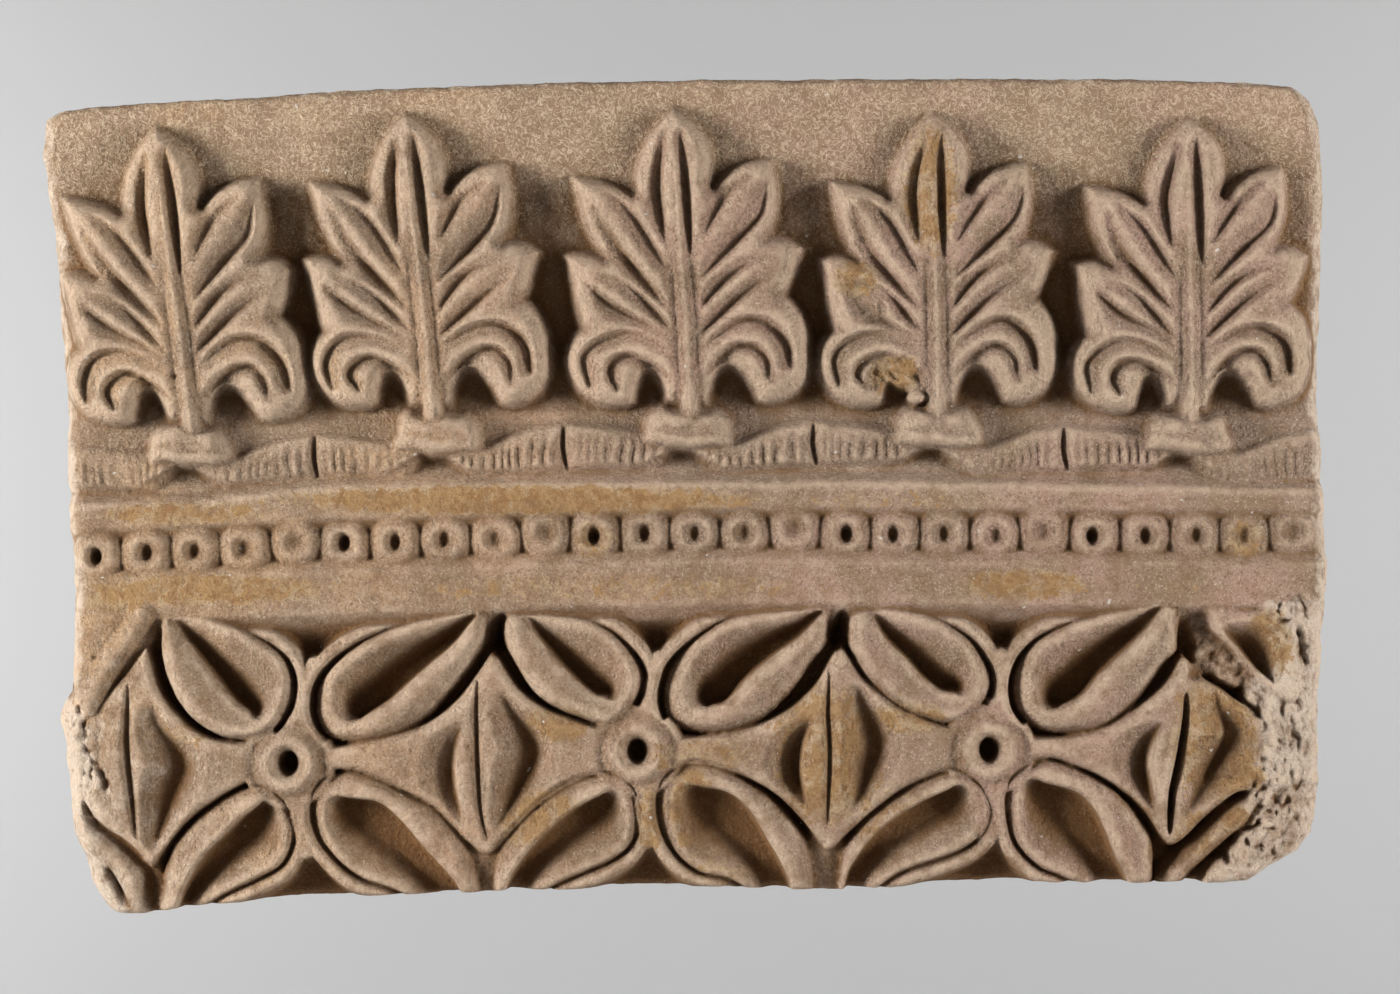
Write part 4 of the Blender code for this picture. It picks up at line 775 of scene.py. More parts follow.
for shape, (left_depth, right_depth), (slit_half, slit_depth) in zip(STARS, VALLEYS, SLITS):
    star(*shape, left_depth, right_depth, slit_half, slit_depth)
for x, z in MEET_TOP:
    groove([(x, z - 0.002), (x - 0.003, z - 0.020)], half=0.0042, depth=0.0150, blunt=0.3)
for x, z in MEET_FOOT:
    ridge([(x + 0.001, z + 0.018), (x - 0.001, z - 0.004)],
          half=0.0085, crest=0.0555, fall=0.0020, wall=2.0)
for centre, (top, foot) in zip(RINGS, FORKS):
    hub(centre)
    ridge([top, centre, foot], half=0.0034, crest=STAR_FACE - 0.0008, fall=0.0010)
for name, outline, brink in PETALS:
    petal(outline, brink, **PETAL_CUTS[name])
for centre in RINGS:
    ring(centre)

# The breaks: both lower corners of the panel are broken away. What is left of the pattern
# there is rough and pitted, and the core of the plaster shows as pale crumbling layers.
broken_share = np.zeros_like(carving.height)


def mound(centre, half_width, half_height, crest, base):
    """A soft lump standing from base to crest."""
    block = carving.near([centre], max(half_width, half_height) + 0.002)
    x, z = carving.at(block)
    round_off = 1 - ((x - centre[0]) / half_width) ** 2 - ((z - centre[1]) / half_height) ** 2
    round_off = np.clip(round_off, 0, 1)
    carving.fill(block, np.where(round_off > 0, base + (crest - base) * round_off ** 0.45, 0))


def broken(outline, level, rough, fade, seed, tilt=0.0, lean=0.0, pale=1.0):
    """A broken patch: rough cracked layers about a tilted plane, fading into the carving.

    Its outline is in millimetres. Lean slants the layers, and pale is how bare its core shows.
    """
    outline = metres(outline)
    block = carving.near(outline, 0)
    x, z = carving.at(block)
    along, aside = 0.22 * (z - lean * x), x + lean * z
    layers = grain(aside, along, 0.0036, seed + 3, 3)
    lumps = 0.55 * grain(x, z, 0.012, seed, 4) + 0.40 * layers + 0.34 * grain(x, z, 0.0022, seed + 9, 2)
    cracks = fading(np.abs(grain(aside, 1.6 * along, 0.0066, seed + 5, 3)), 0.10)
    cracks *= smooth(grain(x, z, 0.010, seed + 6, 2), -0.10, 0.30)
    plane = level + tilt * (x - outline[:, 0].mean())
    share = smooth(carving.inside(outline, block) + 0.002 * grain(x, z, 0.006, seed + 7, 2), 0, fade)
    left_over = plane + rough * (lumps - 0.55 * cracks)
    carving.height[block] += share * (left_over - carving.height[block])
    broken_share[block] = np.maximum(broken_share[block], pale * share)


def pits(millimetres):
    """Ragged holes given by their middles, half sizes and depths in millimetres."""
    for x, z, wide, tall, deep in millimetres:
        pit((x / 1000, z / 1000), wide / 1000, tall / 1000, deep / 1000, 0.9, 0.5)


def broken_left():
    """Left of the first star the pattern is cut off by a broken, pitted edge."""
    # What is left of a petal above the star, with the bar along its side, and of one below it.
    raised(closed([(-290, -50.2), (-269.3, -49.3), (-250.5, -51.1), (-247.3, -58.6), (-250.5, -69.4),
                   (-259, -80.2), (-268.4, -92.4), (-275.4, -101.8), (-281.5, -105.6), (-286.2, -98.1),
                   (-290, -76.5)]),
           crest=0.0572, edge=0.0090, fall=0.0040, wall=12)
    ridge(curve([(-255, -56), (-262, -66.1), (-271.5, -79.5), (-280.8, -98)]),
          half=0.0062, crest=0.0614, fall=0.0042, wall=2.4)
    raised(closed([(-290, -142.2), (-277.8, -147.8), (-264.6, -156.2), (-250.5, -165.6), (-245.9, -179.7),
                   (-246.8, -200.8), (-278, -200.8), (-290, -168.4)]),
           crest=0.0546, edge=0.0040, fall=0.0020, wall=3)
    # The crumbled rim left of the star, with a lump beside its lower hole and scattered pits.
    broken([(-298, -91), (-288, -93), (-280.2, -101), (-278.8, -110), (-278, -119), (-273.5, -127),
            (-270, -133), (-273, -140), (-279, -143), (-282, -150), (-286, -157), (-298, -157)],
           level=0.0574, rough=0.0052, fade=0.0046, seed=33, tilt=0.25)
    fissure = curve([(-284.1, -99.2), (-282.2, -107.2), (-281.6, -116.6), (-278.7, -122.6),
                     (-273.7, -129.3), (-269, -135.9)])
    groove(fissure, half=0.0020, depth=0.0016, blunt=0.30, flank=0.0006)
    mound((-0.2757, -0.1353), half_width=0.0034, half_height=0.0048, crest=0.0586, base=0.0556)
    pits([(-284.6, -98.8, 0.8, 1.7, 3), (-287.2, -97.4, 0.6, 0.8, 2), (-289.6, -105, 1.0, 2.6, 1.8),
          (-283.4, -107.2, 0.7, 1.9, 1.6), (-278.7, -129.8, 1.1, 3.0, 2.6), (-270.6, -134.8, 2.4, 3.0, 2.0),
          (-281, -113, 0.8, 1.1, 1.6), (-280.4, -116, 0.8, 1, 1.5), (-279.2, -119.4, 0.9, 1.2, 1.6),
          (-276, -125, 0.9, 1.1, 1.5), (-273.4, -130.4, 0.8, 1.1, 1.5), (-277.7, -148.6, 0.7, 0.8, 1.6),
          (-275.4, -150.8, 0.6, 0.7, 1.6), (-271.7, -152.6, 0.6, 0.7, 1.5), (-277, -153.6, 0.9, 2.2, 2.2),
          (-277.4, -75.4, 0.8, 0.9, 1.2), (-286.4, -138, 0.7, 2, 1.2)])
    # The rounded corner, and the slip of band outside it, parted by narrow cuts.
    raised(closed([(-287.5, -146.5), (-281, -152), (-273.5, -158.5), (-264.5, -165), (-256.5, -173),
                   (-252.5, -182), (-251.5, -200.8), (-266, -200.8), (-264.5, -190), (-268.5, -178),
                   (-277, -171.5), (-288, -164)]),
           crest=0.0590, edge=0.0070, fall=0.0040, wall=1.8)
    raised(closed([(-279, -171), (-272.5, -174.5), (-268.5, -182), (-262.5, -192), (-260.5, -200.8),
                   (-278, -200.8), (-282, -186)]),
           crest=0.0572, edge=0.0040, fall=0.0020, wall=3)
    groove(curve([(-283.5, -144), (-275.5, -154), (-264, -162.5), (-253.5, -174)]),
           half=0.0026, depth=0.0022, blunt=0.30, flank=0.0012)
    groove(curve([(-271.2, -173.2), (-268.6, -178.5), (-264.5, -185.5), (-259.6, -194)]),
           half=0.0013, depth=0.0032, blunt=0.4, flank=0.0008)
    groove(metres([(-252, -171.2), (-250.5, -181.6), (-250.5, -200.8)]),
           half=0.0045, depth=0.0030, blunt=0.3, flank=0.0020)


def broken_right():
    """Right of the last star a petal is half lost, and rough plaster fills the broken end."""
    # The end of the panel above and below, and the hole broken into the star's upper arm.
    broken([(271.2, -46.4), (308, -43.6), (308, -142.2), (266.5, -142.2), (264.6, -133), (267.4, -121),
            (266.5, -108), (261.8, -100), (258, -97.5), (261.8, -90.5), (271.2, -71.8), (268.4, -57.7)],
           level=0.0574, rough=0.0050, fade=0.0060, seed=45, tilt=-0.12, lean=0.12, pale=0.85)
    broken([(264, -132), (308, -132.8), (308, -189.1), (232.7, -191.4), (240, -179.7), (247, -170),
            (256, -160)],
           level=0.0560, rough=0.0052, fade=0.0050, seed=49, tilt=-0.12, lean=-0.5, pale=0.80)
    broken([(234, -56), (244, -52.5), (252.4, -59.6), (263.7, -72.7), (275.9, -87.7), (284.3, -97.1),
            (271.2, -98.1), (259, -92.4), (247.7, -87.7), (233.7, -87.7), (236.5, -69.9)],
           level=0.0530, rough=0.0044, fade=0.0050, seed=46, tilt=0.10, lean=-0.9, pale=0.20)
    # The hollow left of the lost petal: steep under a thin ridge, rising slowly to the right.
    raised(closed([(246, -52), (262, -54), (270, -54), (280, -60), (286, -72), (289, -88), (286, -96),
                   (276, -90), (266, -80), (256, -69), (247, -60)]),
           crest=0.0582, edge=0.0040, fall=0.0010, wall=4)
    valley([(253, -61.5), (261, -69.5), (268.5, -77.5), (278, -88)],
           depth=0.0150, left=0.0170, right=0.0030, bend=1.0)
    ridge(curve([(248, -58.5), (257.7, -69.5), (266, -79.7), (276.2, -89.9), (284.5, -95.4)]),
          half=0.0008, crest=0.0564, fall=0.0008, wall=3.2)
    broken([(279, -59), (289, -57.7), (292.5, -90.5), (287, -96.2), (283.5, -90.5), (283.5, -76.5),
            (280, -67.1)],
           level=0.0582, rough=0.0034, fade=0.0040, seed=47, tilt=-0.05, pale=0.60)
    groove(curve([(288, -61.2), (290.4, -70), (293.3, -80.6)]), half=0.0008, depth=0.0022, blunt=0.3)
    valley([(252.6, -101), (255.8, -112), (251.2, -124), (242.9, -137)],
           depth=0.0036, left=0.0040, right=0.0040)
    pits([(281.7, -58.2, 3.2, 1.2, 3.4), (268.6, -52.8, 0.8, 1.0, 2), (283, -65.4, 0.7, 1.0, 1.8),
          (286.4, -66, 0.7, 0.7, 1.8), (255.8, -170, 1.8, 3.2, 4.6), (271.4, -123, 0.7, 1.4, 1.8),
          (268, -134.4, 0.9, 2.0, 2.4), (264, -139.6, 1.8, 1.2, 3.4), (284, -141.4, 0.8, 2.0, 2),
          (279, -148, 0.8, 2.4, 1.8), (269.4, -152.6, 2.0, 1.1, 2.4), (281, -112, 0.5, 1.6, 1.6),
          (282, -120.4, 0.5, 1.6, 1.6), (293, -101, 0.6, 1.8, 1.6), (293.8, -124, 0.6, 2.0, 1.6),
          (288.4, -120.4, 0.5, 1.4, 1.4), (290, -135, 0.6, 2.0, 1.6), (286, -160, 1.0, 1.4, 1.6),
          (272, -165, 1.0, 2.0, 2), (296.4, -110, 0.6, 2.0, 1.4)])
    groove(curve([(254, -89), (263.2, -95.4), (271.6, -102.8)]), half=0.0016, depth=0.0070, blunt=0.4)
    groove(metres([(244.4, -135.6), (251.5, -132.8), (260.9, -130), (268.4, -127.1)]),
           half=0.0040, depth=0.0022, blunt=0.5, flank=0.0012)
    # The bar of the lower petal, with a cut on each side of it.
    raised(closed([(268.4, -140.3), (265.5, -150.6), (255.2, -160.9), (244, -170.3), (234.6, -179.7),
                   (230.8, -200.8), (219.6, -200.8), (224.3, -179.7), (234.6, -168.4), (245.8, -156.2),
                   (257.1, -144)]),
           crest=0.0588, edge=0.0060, fall=0.0040, wall=3)
    groove(metres([(263.7, -138.4), (252.4, -147.8), (240.2, -158.1), (228, -168.4)]),
           half=0.0024, depth=0.0060, blunt=0.4, flank=0.0016)
    groove(metres([(272.1, -153.4), (263.7, -156.2), (254.3, -163.7), (244.9, -173.1), (235.5, -183.4)]),
           half=0.0018, depth=0.0060, blunt=0.3, flank=0.0010)


def chipped_leaf():
    """The fourth palmette has lost the skin of a lobe and half of its left curl."""
    broken([(75.1, 100.9), (85.4, 104.6), (95.7, 96.2), (95.7, 84), (86.3, 80.2), (77.9, 88.7)],
           level=0.0528, rough=0.0030, fade=0.0030, seed=61, lean=-0.6, pale=0.0)
    broken([(82.6, 58.6), (91, 66.2), (103.7, 67.1), (114, 59.6), (113.5, 45.5), (105.1, 48.3), (96.6, 53),
            (90.1, 47.4), (83.5, 50.2)],
           level=0.0522, rough=0.0040, fade=0.0030, seed=62, lean=0.8, pale=0.0)
    mound((0.1098, 0.0469), half_width=0.0046, half_height=0.0034, crest=0.0566, base=0.0500)


broken_left()
broken_right()
chipped_leaf()

# Wear: the plaster is soft, so every arris has rounded off. The surface is a little lumpy,
# and small chips and blow holes are scattered over it.
ARRIS_SOFTNESS = 0.00045
LUMPS = 0.00030
CHIP_COUNT = 420


def blurred(field, reach):
    """The field with everything finer than reach averaged away."""
    count = int(3 * reach / carving.step) + 1
    weight = np.exp(-0.5 * (np.arange(-count, count + 1) * carving.step / reach) ** 2)
    weight /= weight.sum()
    padded = np.pad(field, count, mode="edge")
    rows, columns = field.shape
    padded = sum(w * padded[:, k:k + columns] for k, w in enumerate(weight))
    return sum(w * padded[k:k + rows] for k, w in enumerate(weight))


def chips():
    """Small scattered chips and blow holes."""
    hand = np.random.default_rng(77)
    for _ in range(CHIP_COUNT):
        centre = (hand.uniform(-0.30, 0.30), hand.uniform(-0.19, 0.195))
        size = 0.0005 + 0.0009 * hand.random() ** 3
        pit(centre, size * hand.uniform(0.8, 1.5), size, size * hand.uniform(0.5, 1.1), 1.0)


chips()
carving.height = blurred(carving.height, ARRIS_SOFTNESS)
carving.height += LUMPS * grain(carving.x, carving.z, 0.0036, 61, 2)

# The panel's skin: one closed mesh over the carving, the rough broken sides and the flat
# back, thinned where the plaster is plain and kept fine where it is carved. Shares from 0 to 1
# at its points tell its finish how deep a place lies, how proud it is and how broken.
SKIN_ROWS = round(0.385 / CARVING_STEP)
SKIN_COLUMNS = round(0.600 / CARVING_STEP)
FOOT, TOP = -0.190, 0.197
SIDE_RINGS = 16
SKIN_FACETS = 185000
BACK_BEVEL = 0.0008


def ragged_side(points, along, reach, cell, seed):
    """The line of a side, as raggedly broken as it is."""
    return line(points, along) + reach * grain(along, 0 * along, cell, seed, 4)


def outline_points(s, t):
    """Places spread evenly over the broken outline, and their distances in from its sides."""
    z = FOOT + (TOP - FOOT) * t
    # The sides hang on z and the top and foot on x, so both are settled in a few rounds.
    for _ in range(8):
        left = ragged_side(LEFT_SIDE, z, 0.0009, 0.0090, 97)
        right = ragged_side(RIGHT_SIDE, z, 0.0009, 0.0090, 98)
        x = left + (right - left) * s
        foot = ragged_side(FOOT_SIDE, x, 0.0006, 0.0070, 99)
        top = ragged_side(TOP_SIDE, x, 0.0006, 0.0060, 100)
        z = foot + (top - foot) * t
    return x, z, np.minimum(x - left, right - x), np.minimum(z - foot, top - z)


def skin_mesh():
    """The carved front and the rough sides behind its rim, open at the back."""
    s, t = np.meshgrid(np.linspace(0, 1, SKIN_COLUMNS), np.linspace(0, 1, SKIN_ROWS))
    x, z, side_gap, end_gap = outline_points(s, t)
    ragged = 0.0010 * grain(x, z, 0.011, 71, 3)
    height = carving.sample(carving.height, x, z)
    height = height - 0.0105 * fading(side_gap + ragged, 0.0085, 2)
    height = height - 0.0032 * fading(end_gap + ragged, 0.0030, 2)
    # The rim, anticlockwise from the lower left corner, and the rings of the sides behind it.
    order = np.arange(x.size).reshape(x.shape)
    rim = np.concatenate([order[0, :-1], order[:-1, -1], order[-1, :0:-1], order[:0:-1, 0]])
    places = [np.stack([x, -height, z], -1).reshape(-1, 3)]
    edge_x, edge_y, edge_z = places[0][rim].T
    out = np.hypot(edge_x, edge_z)
    run = np.concatenate([[0], np.cumsum(np.hypot(np.diff(edge_x), np.diff(edge_z)))])
    low, high = order[:-1, :-1].ravel(), order[1:, :-1].ravel()
    faces = [np.stack([low, low + 1, high + 1, high], -1)]
    before = rim
    for k in range(SIDE_RINGS):
        share = (k + 1) / SIDE_RINGS
        y = edge_y * (1 - share) - BACK_BEVEL * share
        recess = (0.0016 + 0.0024 * grain(run, y, 0.013, 72, 4)) * smooth(share, 0, 0.25)
        places.append(np.stack([edge_x - edge_x / out * recess, y, edge_z - edge_z / out * recess], -1))
        after = x.size + k * len(rim) + np.arange(len(rim))
        faces.append(np.stack([before, after, np.roll(after, -1), np.roll(before, -1)], -1))
        before = after
    places, faces = np.concatenate(places), np.concatenate(faces)
    mesh = bpy.data.meshes.new("fine_skin")
    mesh.vertices.add(len(places))
    mesh.vertices.foreach_set("co", places.ravel())
    mesh.loops.add(faces.size)
    mesh.loops.foreach_set("vertex_index", faces.ravel())
    mesh.polygons.add(len(faces))
    mesh.polygons.foreach_set("loop_start", np.arange(0, faces.size, 4))
    mesh.update(calc_edges=True)
    return mesh, 2 * len(faces)


def placed(name, data):
    """An object with this data, put in the scene."""
    made = bpy.data.objects.new(name, data)
    bpy.context.collection.objects.link(made)
    return made


def thinned(mesh, share):
    """The mesh with its plain parts drawn with fewer facets."""
    sheet = placed("sheet", mesh)
    thin = sheet.modifiers.new("thin", "DECIMATE")
    thin.ratio = share
    thin.use_collapse_triangulate = True
    seen = sheet.evaluated_get(bpy.context.evaluated_depsgraph_get())
    shape = bmesh.new()
    shape.from_mesh(seen.to_mesh())
    bpy.data.objects.remove(sheet, do_unlink=True)
    bpy.data.meshes.remove(mesh)
    return shape


def closed_skin():
    """The thinned skin, closed by its flat back."""
    mesh, facets = skin_mesh()
    shape = thinned(mesh, SKIN_FACETS / facets)

    def rim():
        return [edge for edge in shape.edges if edge.is_boundary]

    for item in bmesh.ops.extrude_edge_only(shape, edges=rim())["geom"]:
        if isinstance(item, bmesh.types.BMVert):
            item.co.y = 0.0
    back = bmesh.ops.contextual_create(shape, geom=rim())["faces"]
    bmesh.ops.triangulate(shape, faces=back + [face for face in shape.faces if len(face.verts) == 4])
    bmesh.ops.recalc_face_normals(shape, faces=shape.faces)
    skin = bpy.data.meshes.new("carved_panel")
    shape.to_mesh(skin)
    shape.free()
    skin.shade_smooth()
    skin.set_sharp_from_angle(angle=math.radians(60))
    return skin


# Shares on the sides and the back, which the carving's own shares don't reach.
ON_SIDES = {"broken": 0.45, "greyed": 0.50}
ON_BACK = {"broken": 0.14, "greyed": 0.40}
# Middles and half sizes, in millimetres, of the places that kept their paint, and how well.
PAINTED = [
    (-77, -1.4, 122, 8, 1.0), (-236, -7.8, 47, 6, 0.8), (101, -1.4, 56, 6, 0.4),
    (-222, -43.6, 60, 8, 0.9), (160, -41.3, 33, 8, 0.9), (-39, -42.7, 117, 7, 0.5),
    (233, -42.7, 28, 6, 0.3),
    (-267, -47.4, 16, 8, 0.9), (-42, -20, 12, 10, 0.7), (264, -20, 11, 10, 0.7),
    (-236, -112, 19, 9, 0.5), (-60, -106, 19, 10, 0.8), (104, -104, 21, 9, 0.8),
    (68, -121, 28, 36, 0.90), (8, -122, 28, 10, 0.6), (249, -114, 24, 33, 0.85),
    (3, -145, 11, 22, 1.0), (17, -171, 24, 14, 0.5), (-16, -152, 7, 19, 0.9), (-67, -152, 24, 19, 0.8),
    (97, -152, 24, 19, 0.5), (243, -159, 16, 13, 0.8), (275, -68, 12, 17, 1.0), (116, 145, 15, 36, 0.8),
    (99, 57, 13, 11, 0.9), (81, 103, 13, 10, 0.8), (259, -151, 9, 7, 1.1), (262, -132, 13, 8, 1.0),
]


def side_wear():
    """1 at the left and right sides of the face, where they have rubbed pale, 0 from 9 mm in."""
    x, z = carving.x, carving.z
    lower_left = smooth(-z, 0.080, 0.120) * (x < 0)
    aside = np.minimum(x - line(LEFT_SIDE, z), line(RIGHT_SIDE, z) - x) / (1 + 2.2 * lower_left)
    return 1 - smooth(aside + 0.003 * grain(x, z, 0.012, 92, 3), 0.001, 0.010)


def top_nicks():
    """1 in the small fresh nicks along the top arris."""
    x, z = carving.x, carving.z
    below = line(TOP_SIDE, x) - z + 0.0006 * grain(x, z, 0.002, 96)
    nicked = smooth(grain(x, 0 * x, 0.0060, 95, 3), 0.12, 0.34)
    return nicked * (1 - smooth(below, 0.0006, 0.0020))


def paint_left():
    """How well the paint has lasted at each place of the face."""
    kept = np.zeros_like(carving.x)
    for x, z, wide, tall, strength in PAINTED:
        away = np.hypot((carving.x - x / 1000) / (wide / 1000), (carving.z - z / 1000) / (tall / 1000))
        kept = np.maximum(kept, strength * (1 - smooth(away, 0.55, 1.25)))
    return kept


def face_shares():
    """From 0 to 1 at each place of the face: earth and painted shade, crest wear and painted highlight,
    bare core, paler upper field, paint, greyed.
    """
    x, z, height = carving.x, carving.z, carving.height
    crevice = np.clip((blurred(height, 0.0016) - height) / 0.0011, 0, 1)
    trough = np.clip((blurred(height, 0.0034) - height) / 0.0030, 0, 1)
    # Earth lies in what is deep for its part of the panel, darkened further as painted shade; the band
    # of stars is the proudest part, and its lower dishes hold the most.
    level = 0.0480 + 0.0098 * (1 - smooth(z, -0.062, -0.054)) + 0.0026 * (1 - smooth(z, -0.145, -0.120))
    hollow = smooth(level - blurred(height, 0.0022), 0.0012, 0.0130) + 0.36 * smooth(-z, -0.006, 0.004)
    rubbed = side_wear()
    hollow *= (1 - 0.85 * rubbed) * (1 - 0.6 * broken_share)
    # Paler towards the lower left corner: rubbed plaster, and partly painted light where the left lamp
    # falls strongest.
    paler_corner = 0.42 * smooth(-x, 0.19, 0.27) * smooth(-z, 0.055, 0.095)
    return {
        # Earth and painted shade: deep places, creases and grooves are darkened brown where shade falls,
        # and the lower half gets a little more of it.
        "earth_and_shade": hollow + 0.38 * smooth(crevice, 0.25, 1.0) + 0.34 * trough,
        # Crest wear and painted highlight: proud edges are lighter, partly worn pale, partly as the light
        # they catch.
        "crest": np.clip((height - blurred(height, 0.0030)) / 0.0014, 0, 1),
        "broken": np.maximum.reduce([broken_share, 0.8 * rubbed, top_nicks(), paler_corner]),
        # Paler colour on the low ground towards the top of the upper field.
        "paler_upper_field": smooth(z, 0.080, 0.165) * smooth(0.0505 - height, 0, 0.0020),
        "paint": paint_left(),
        "greyed": smooth(x + 0.03 * grain(x, z, 0.06, 91, 2), -0.24, 0.12),
    }


skin = closed_skin()
places = np.empty(3 * len(skin.vertices))
skin.vertices.foreach_get("co", places)
x, y, z = places.reshape(-1, 3).T
front_share = smooth(-y, 0.020, 0.034)
is_back = y > -BACK_BEVEL / 2
for name, field in face_shares().items():
    plain = np.where(is_back, ON_BACK.get(name, 0.0), ON_SIDES.get(name, 0.0))
    values = carving.sample(field, x, z) * front_share + plain * (1 - front_share)
    skin.attributes.new(name, "FLOAT", "POINT").data.foreach_set("value", values)
panel = placed("carved_panel", skin)

# The finish: dry gypsum plaster, matt, with a grain like fine sand. Brown earth from the
# ground has stayed in the hollows, darkened further as painted shade, the proud parts are worn
# pale and painted lighter as a highlight, and flakes of a thin ochre paint are left on the
# fillets and on a few of the stars and petals.
PLASTER = "#AC8B68"
GREYED_PLASTER = "#A48473"
BARE_GYPSUM = "#D9D2CA"
# Coats of colour over the whole face: the size of their patches in millimetres, the detail and
# roughness of the patches, where they start and are full, their strength, their colour.
COATS = [
    (95, 2, 0.50, 0.42, 0.62, 0.80, "#8E7865"),
    (24, 4, 0.55, 0.42, 0.66, 0.85, "#846B53"),
    (7.5, 5, 0.65, 0.45, 0.75, 0.55, "#A7927B"),
    (2.4, 3, 0.60, 0.50, 0.68, 0.55, "#745840"),
    (1.1, 2, 0.60, 0.53, 0.69, 0.58, "#C1AD97"),
    (1.3, 2, 0.60, 0.55, 0.70, 0.58, "#553F2C"),
]
# Coats held to parts of the face: the part, the size of their patches in millimetres, how
# ragged they are, where they start and are full, their strength, their colour.
STAINS = [
    # Paler colour on the low ground of the upper field.
    ("paler_upper_field", 18.0, 2.2, 0.40, 1.60, 0.62, "#B59C7F"),
    # Bare or rubbed pale plaster, and partly painted light at the lower left corner.
    ("broken", 7.0, 2.4, 0.20, 1.00, 0.84, "#D4C1AD"),
    # Crests worn pale and lightened further as a painted highlight.
    ("crest", 5.0, 1.4, 0.15, 1.30, 0.70, "#CFB59B"),
    ("paint", 14.0, 2.2, 0.25, 0.85, 0.45, "#8C6D45"),
    ("paint", 4.0, 3.0, 0.50, 0.62, 0.35, "#C4AB82"),
    ("paint", 8.0, 3.6, 0.68, 0.80, 0.68, "#98703E"),
    ("paint", 4.5, 4.6, 0.85, 1.25, 0.55, "#7C5229"),
    # Earth and painted shade: brown in the hollows, creases and grooves.
    ("earth_and_shade", 11.0, 1.7, 0.18, 1.00, 1.00, "#7A5B3D"),
    ("earth_and_shade", 5.0, 0.8, 0.70, 1.50, 1.00, "#754F28"),
]
# The crackle: where its lines start and are full, their strength everywhere and what the
# paler upper field adds, their colour.
CRACKLE = [(0.035, 0.090, 0.10, 0.34, "#7F6145"), (0.030, 0.008, 0.12, 0.42, "#D9C4A4")]


def colour(code):
    """Linear colour of an sRGB hex value."""
    parts = [int(code[k:k + 2], 16) / 255 for k in (1, 3, 5)]
    return tuple(c / 12.92 if c <= 0.04045 else ((c + 0.055) / 1.055) ** 2.4 for c in parts) + (1.0,)


def add(tree, kind, settings=(), out=0, **links):
    """Add a node with its settings and links, and give one of its outputs."""
    node = tree.nodes.new(kind)
    for name, value in dict(settings).items():
        setattr(node, name, value)
    for name, value in links.items():
        socket = node.inputs[int(name[1:])] if name[1:].isdigit() else node.inputs[name.replace("_", " ")]
        if isinstance(value, bpy.types.NodeSocket):
            tree.links.new(value, socket)
        else:
            socket.default_value = value
    return node.outputs[out]


def worn_plaster():
    """Worn gypsum plaster: a dull, dry, grainy surface, pinkish beige, with brown earth and painted shade
    in its hollows.
    """
    material = bpy.data.materials.new("carved_gypsum_plaster")
    material.use_nodes = True
    tree = material.node_tree
    where = add(tree, "ShaderNodeTexCoord", (), "Object")

    def held(part):
        return add(tree, "ShaderNodeAttribute", {"attribute_name": part}, "Fac")

    def patches(size, detail, rough=0.5, twist=0.0):
        return add(tree, "ShaderNodeTexNoise", (), 0, Vector=where, Scale=1000 / size, Detail=detail,
                   Roughness=rough, Distortion=twist)

    def worked(operation, **values):
        return add(tree, "ShaderNodeMath", {"operation": operation}, 0, **values)

    def share(value, start, full, strength=1.0, curve="SMOOTHSTEP"):
        return add(tree, "ShaderNodeMapRange", {"interpolation_type": curve}, 0, Value=value,
                   From_Min=start, From_Max=full, To_Max=strength)

    def coated(under, amount, code):
        return add(tree, "ShaderNodeMix", {"data_type": "RGBA"}, 2, i0=amount, i6=under, i7=colour(code))

    tone = coated(colour(PLASTER), held("greyed"), GREYED_PLASTER)
    for size, detail, rough, start, full, strength, code in COATS:
        tone = coated(tone, share(patches(size, detail, rough), start, full, strength), code)
    for part, size, ragged, start, full, strength, code in STAINS:
        even = worked("SUBTRACT", i0=patches(size, 5, 0.68), i1=0.5)
        edge = worked("MULTIPLY_ADD", i0=even, i1=ragged, i2=held(part))
        tone = coated(tone, share(edge, start, full, strength), code)
    # A crackle of short pale worm-like lines on a darker ground, strongest on the field.
    even = worked("SUBTRACT", i0=patches(3.6, 2, twist=1.4), i1=0.5)
    aside = worked("ABSOLUTE", i0=even)
    for start, full, everywhere, on_field, code in CRACKLE:
        amount = worked("MULTIPLY_ADD", i0=held("paler_upper_field"), i1=on_field, i2=everywhere)
        amount = worked("MULTIPLY", i0=amount, i1=share(aside, start, full, curve="LINEAR"))
        tone = coated(tone, amount, code)
    # White specks of bare gypsum, about 1.5 mm across.
    tone = coated(tone, share(patches(4.5, 2), 0.74, 0.79, 0.7), BARE_GYPSUM)
    # The grain: sand of about 1 mm, grit half as large, and lumps of a few millimetres.
    relief = worked("MULTIPLY_ADD", i0=patches(4.0, 3, 0.60), i1=0.9, i2=patches(1.9, 5, 0.72))
    normal = add(tree, "ShaderNodeBump", (), 0, Height=relief, Strength=1.0, Distance=0.0040)
    shader = tree.nodes["Principled BSDF"]
    tree.links.new(tone, shader.inputs["Base Color"])
    tree.links.new(normal, shader.inputs["Normal"])
    shader.inputs["Roughness"].default_value = 0.92
    shader.inputs["IOR"].default_value = 1.52
    shader.inputs["Specular IOR Level"].default_value = 0.3
    return material


skin.materials.append(worn_plaster())
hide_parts("panel")
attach(panel, "root")

# The studio: a round pale room, a large soft light on each side, the left one the stronger,
# one behind for the panel's back, two more on the wall behind it, and a little light all round.
ROOM_FLOOR = -1.5
ROOM_RADIUS = 4.2
ROOM_BEND = 0.6
ROOM_TOP = 2.4
PAPER = "#D2D2D2"
AIR = "#D2D0CE"
AIR_LIGHT = 0.05
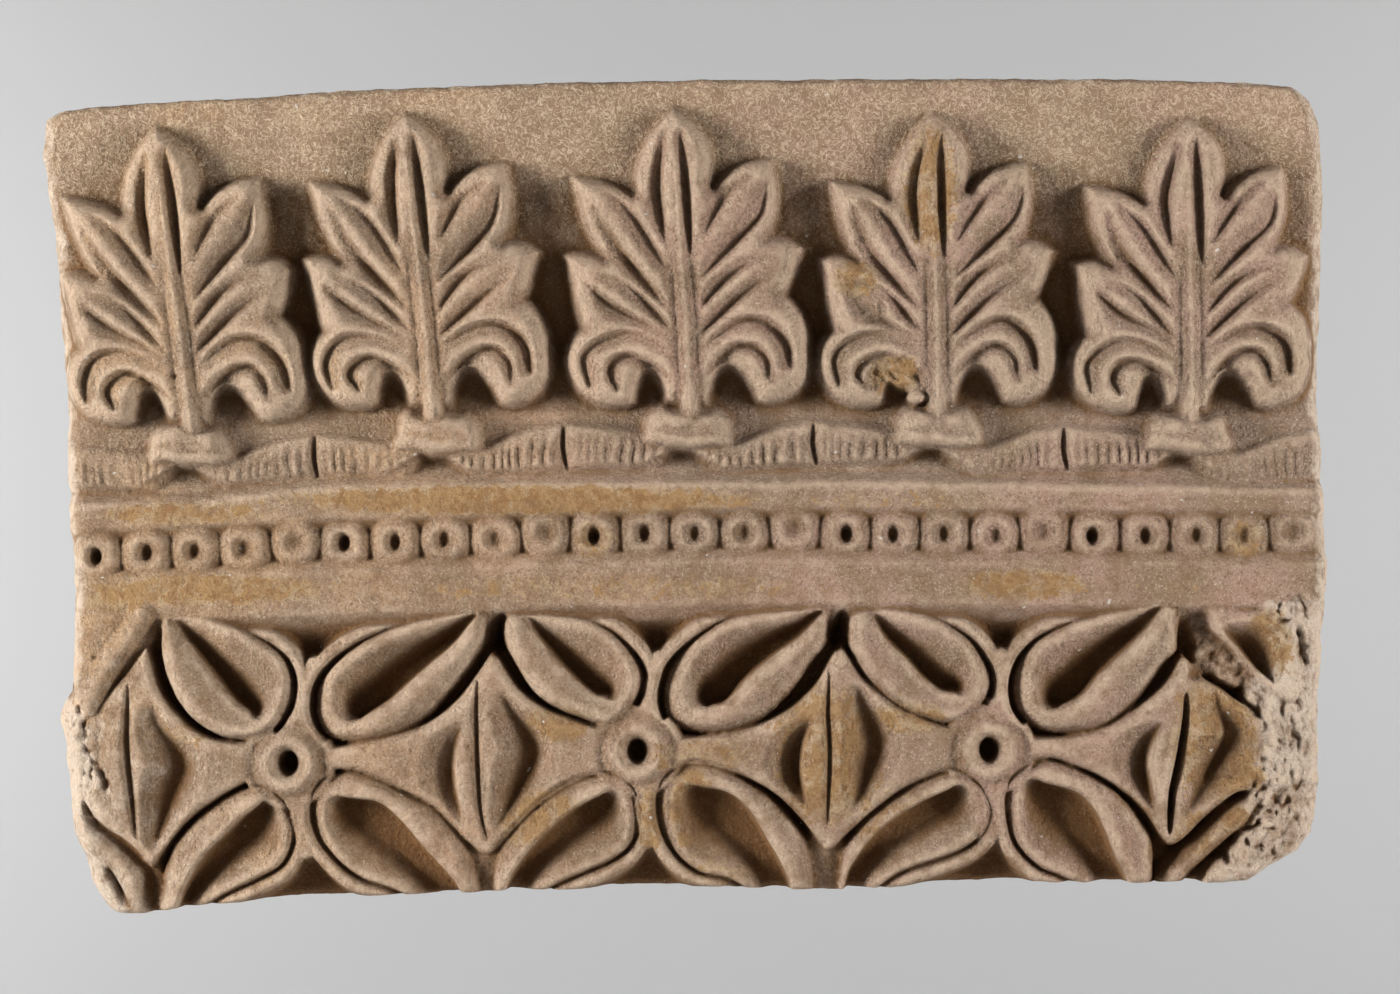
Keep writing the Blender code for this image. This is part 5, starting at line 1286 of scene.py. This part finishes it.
# Name, place, target, width, height and watts of each light.
LIGHTS = [
    ("light_left", (-1.7, -0.75, 0.12), (0, -0.05, 0.02), 0.5, 0.9, 81),
    ("light_right", (1.7, -0.75, 0.12), (0, -0.05, 0.02), 0.5, 0.9, 51),
    ("light_behind", (0.9, 2.6, 0.9), (0, 0, 0), 0.9, 0.9, 60),
    ("backdrop_left", (-1.8, 2.8, 0.1), (-1.5, 4.2, 0.1), 0.8, 1.8, 17),
    ("backdrop_right", (1.8, 2.8, 0.2), (1.5, 4.2, 0.2), 0.8, 1.8, 8),
]


def room():
    """Floor and wall in one, joined by a wide bend so that no edge shows."""
    flat = ROOM_RADIUS - ROOM_BEND
    profile = [(0.0, ROOM_FLOOR), (flat, ROOM_FLOOR)]
    for turn in np.linspace(0, math.pi / 2, 24)[1:]:
        profile.append((flat + ROOM_BEND * math.sin(turn), ROOM_FLOOR + ROOM_BEND * (1 - math.cos(turn))))
    profile.append((ROOM_RADIUS, ROOM_TOP))
    turns = np.linspace(0, 2 * math.pi, 96, endpoint=False)
    places = [(out * math.cos(turn), out * math.sin(turn), z) for turn in turns for out, z in profile]
    faces = []
    for k in range(len(turns)):
        here, there = k * len(profile), (k + 1) % len(turns) * len(profile)
        faces += [(here + i, there + i, there + i + 1, here + i + 1) for i in range(len(profile) - 1)]
    mesh = bpy.data.meshes.new("studio_room")
    mesh.from_pydata(places, [], faces)
    mesh.shade_smooth()
    paper = bpy.data.materials.new("matt_paper")
    paper.use_nodes = True
    shader = paper.node_tree.nodes["Principled BSDF"]
    shader.inputs["Base Color"].default_value = colour(PAPER)
    shader.inputs["Roughness"].default_value = 0.95
    mesh.materials.append(paper)
    placed("studio_room", mesh)


def soft_light(name, place, target, width, height, watts):
    """A flat soft light facing a target."""
    lamp = bpy.data.lights.new(name, "AREA")
    lamp.shape = "RECTANGLE"
    lamp.size, lamp.size_y, lamp.energy = width, height, watts
    made = placed(name, lamp)
    made.location = place
    aim = np.subtract(target, place)
    flat = math.hypot(aim[0], aim[1])
    made.rotation_euler = (math.atan2(flat, -aim[2]), 0, math.atan2(-aim[0], aim[1]))
    made.visible_camera = False


room()
for light in LIGHTS:
    soft_light(*light)
world = bpy.data.worlds.new("studio_air")
world.use_nodes = True
world.node_tree.nodes["Background"].inputs["Color"].default_value = colour(AIR)
world.node_tree.nodes["Background"].inputs["Strength"].default_value = AIR_LIGHT
bpy.context.scene.world = world
bpy.context.scene.view_settings.view_transform = "Standard"

# The camera: level and straight in front of the panel, so far off that one pixel of the photo
# is 0.47 mm at the carved face.
CAMERA_DISTANCE = 1.70
CAMERA_X = 0.0075
CARVED_PLANE = 0.057
PIXEL = 0.00047
PHOTO_WIDTH = 1400
SENSOR_WIDTH = 36.0

lens = bpy.data.cameras.new("camera")
lens.sensor_width = SENSOR_WIDTH
lens.lens = SENSOR_WIDTH * CAMERA_DISTANCE / (PHOTO_WIDTH * PIXEL)
camera = placed("camera", lens)
camera.location = (CAMERA_X, -CAMERA_DISTANCE - CARVED_PLANE, 0.0)
camera.rotation_euler = (math.pi / 2, 0, 0)
bpy.context.scene.camera = camera
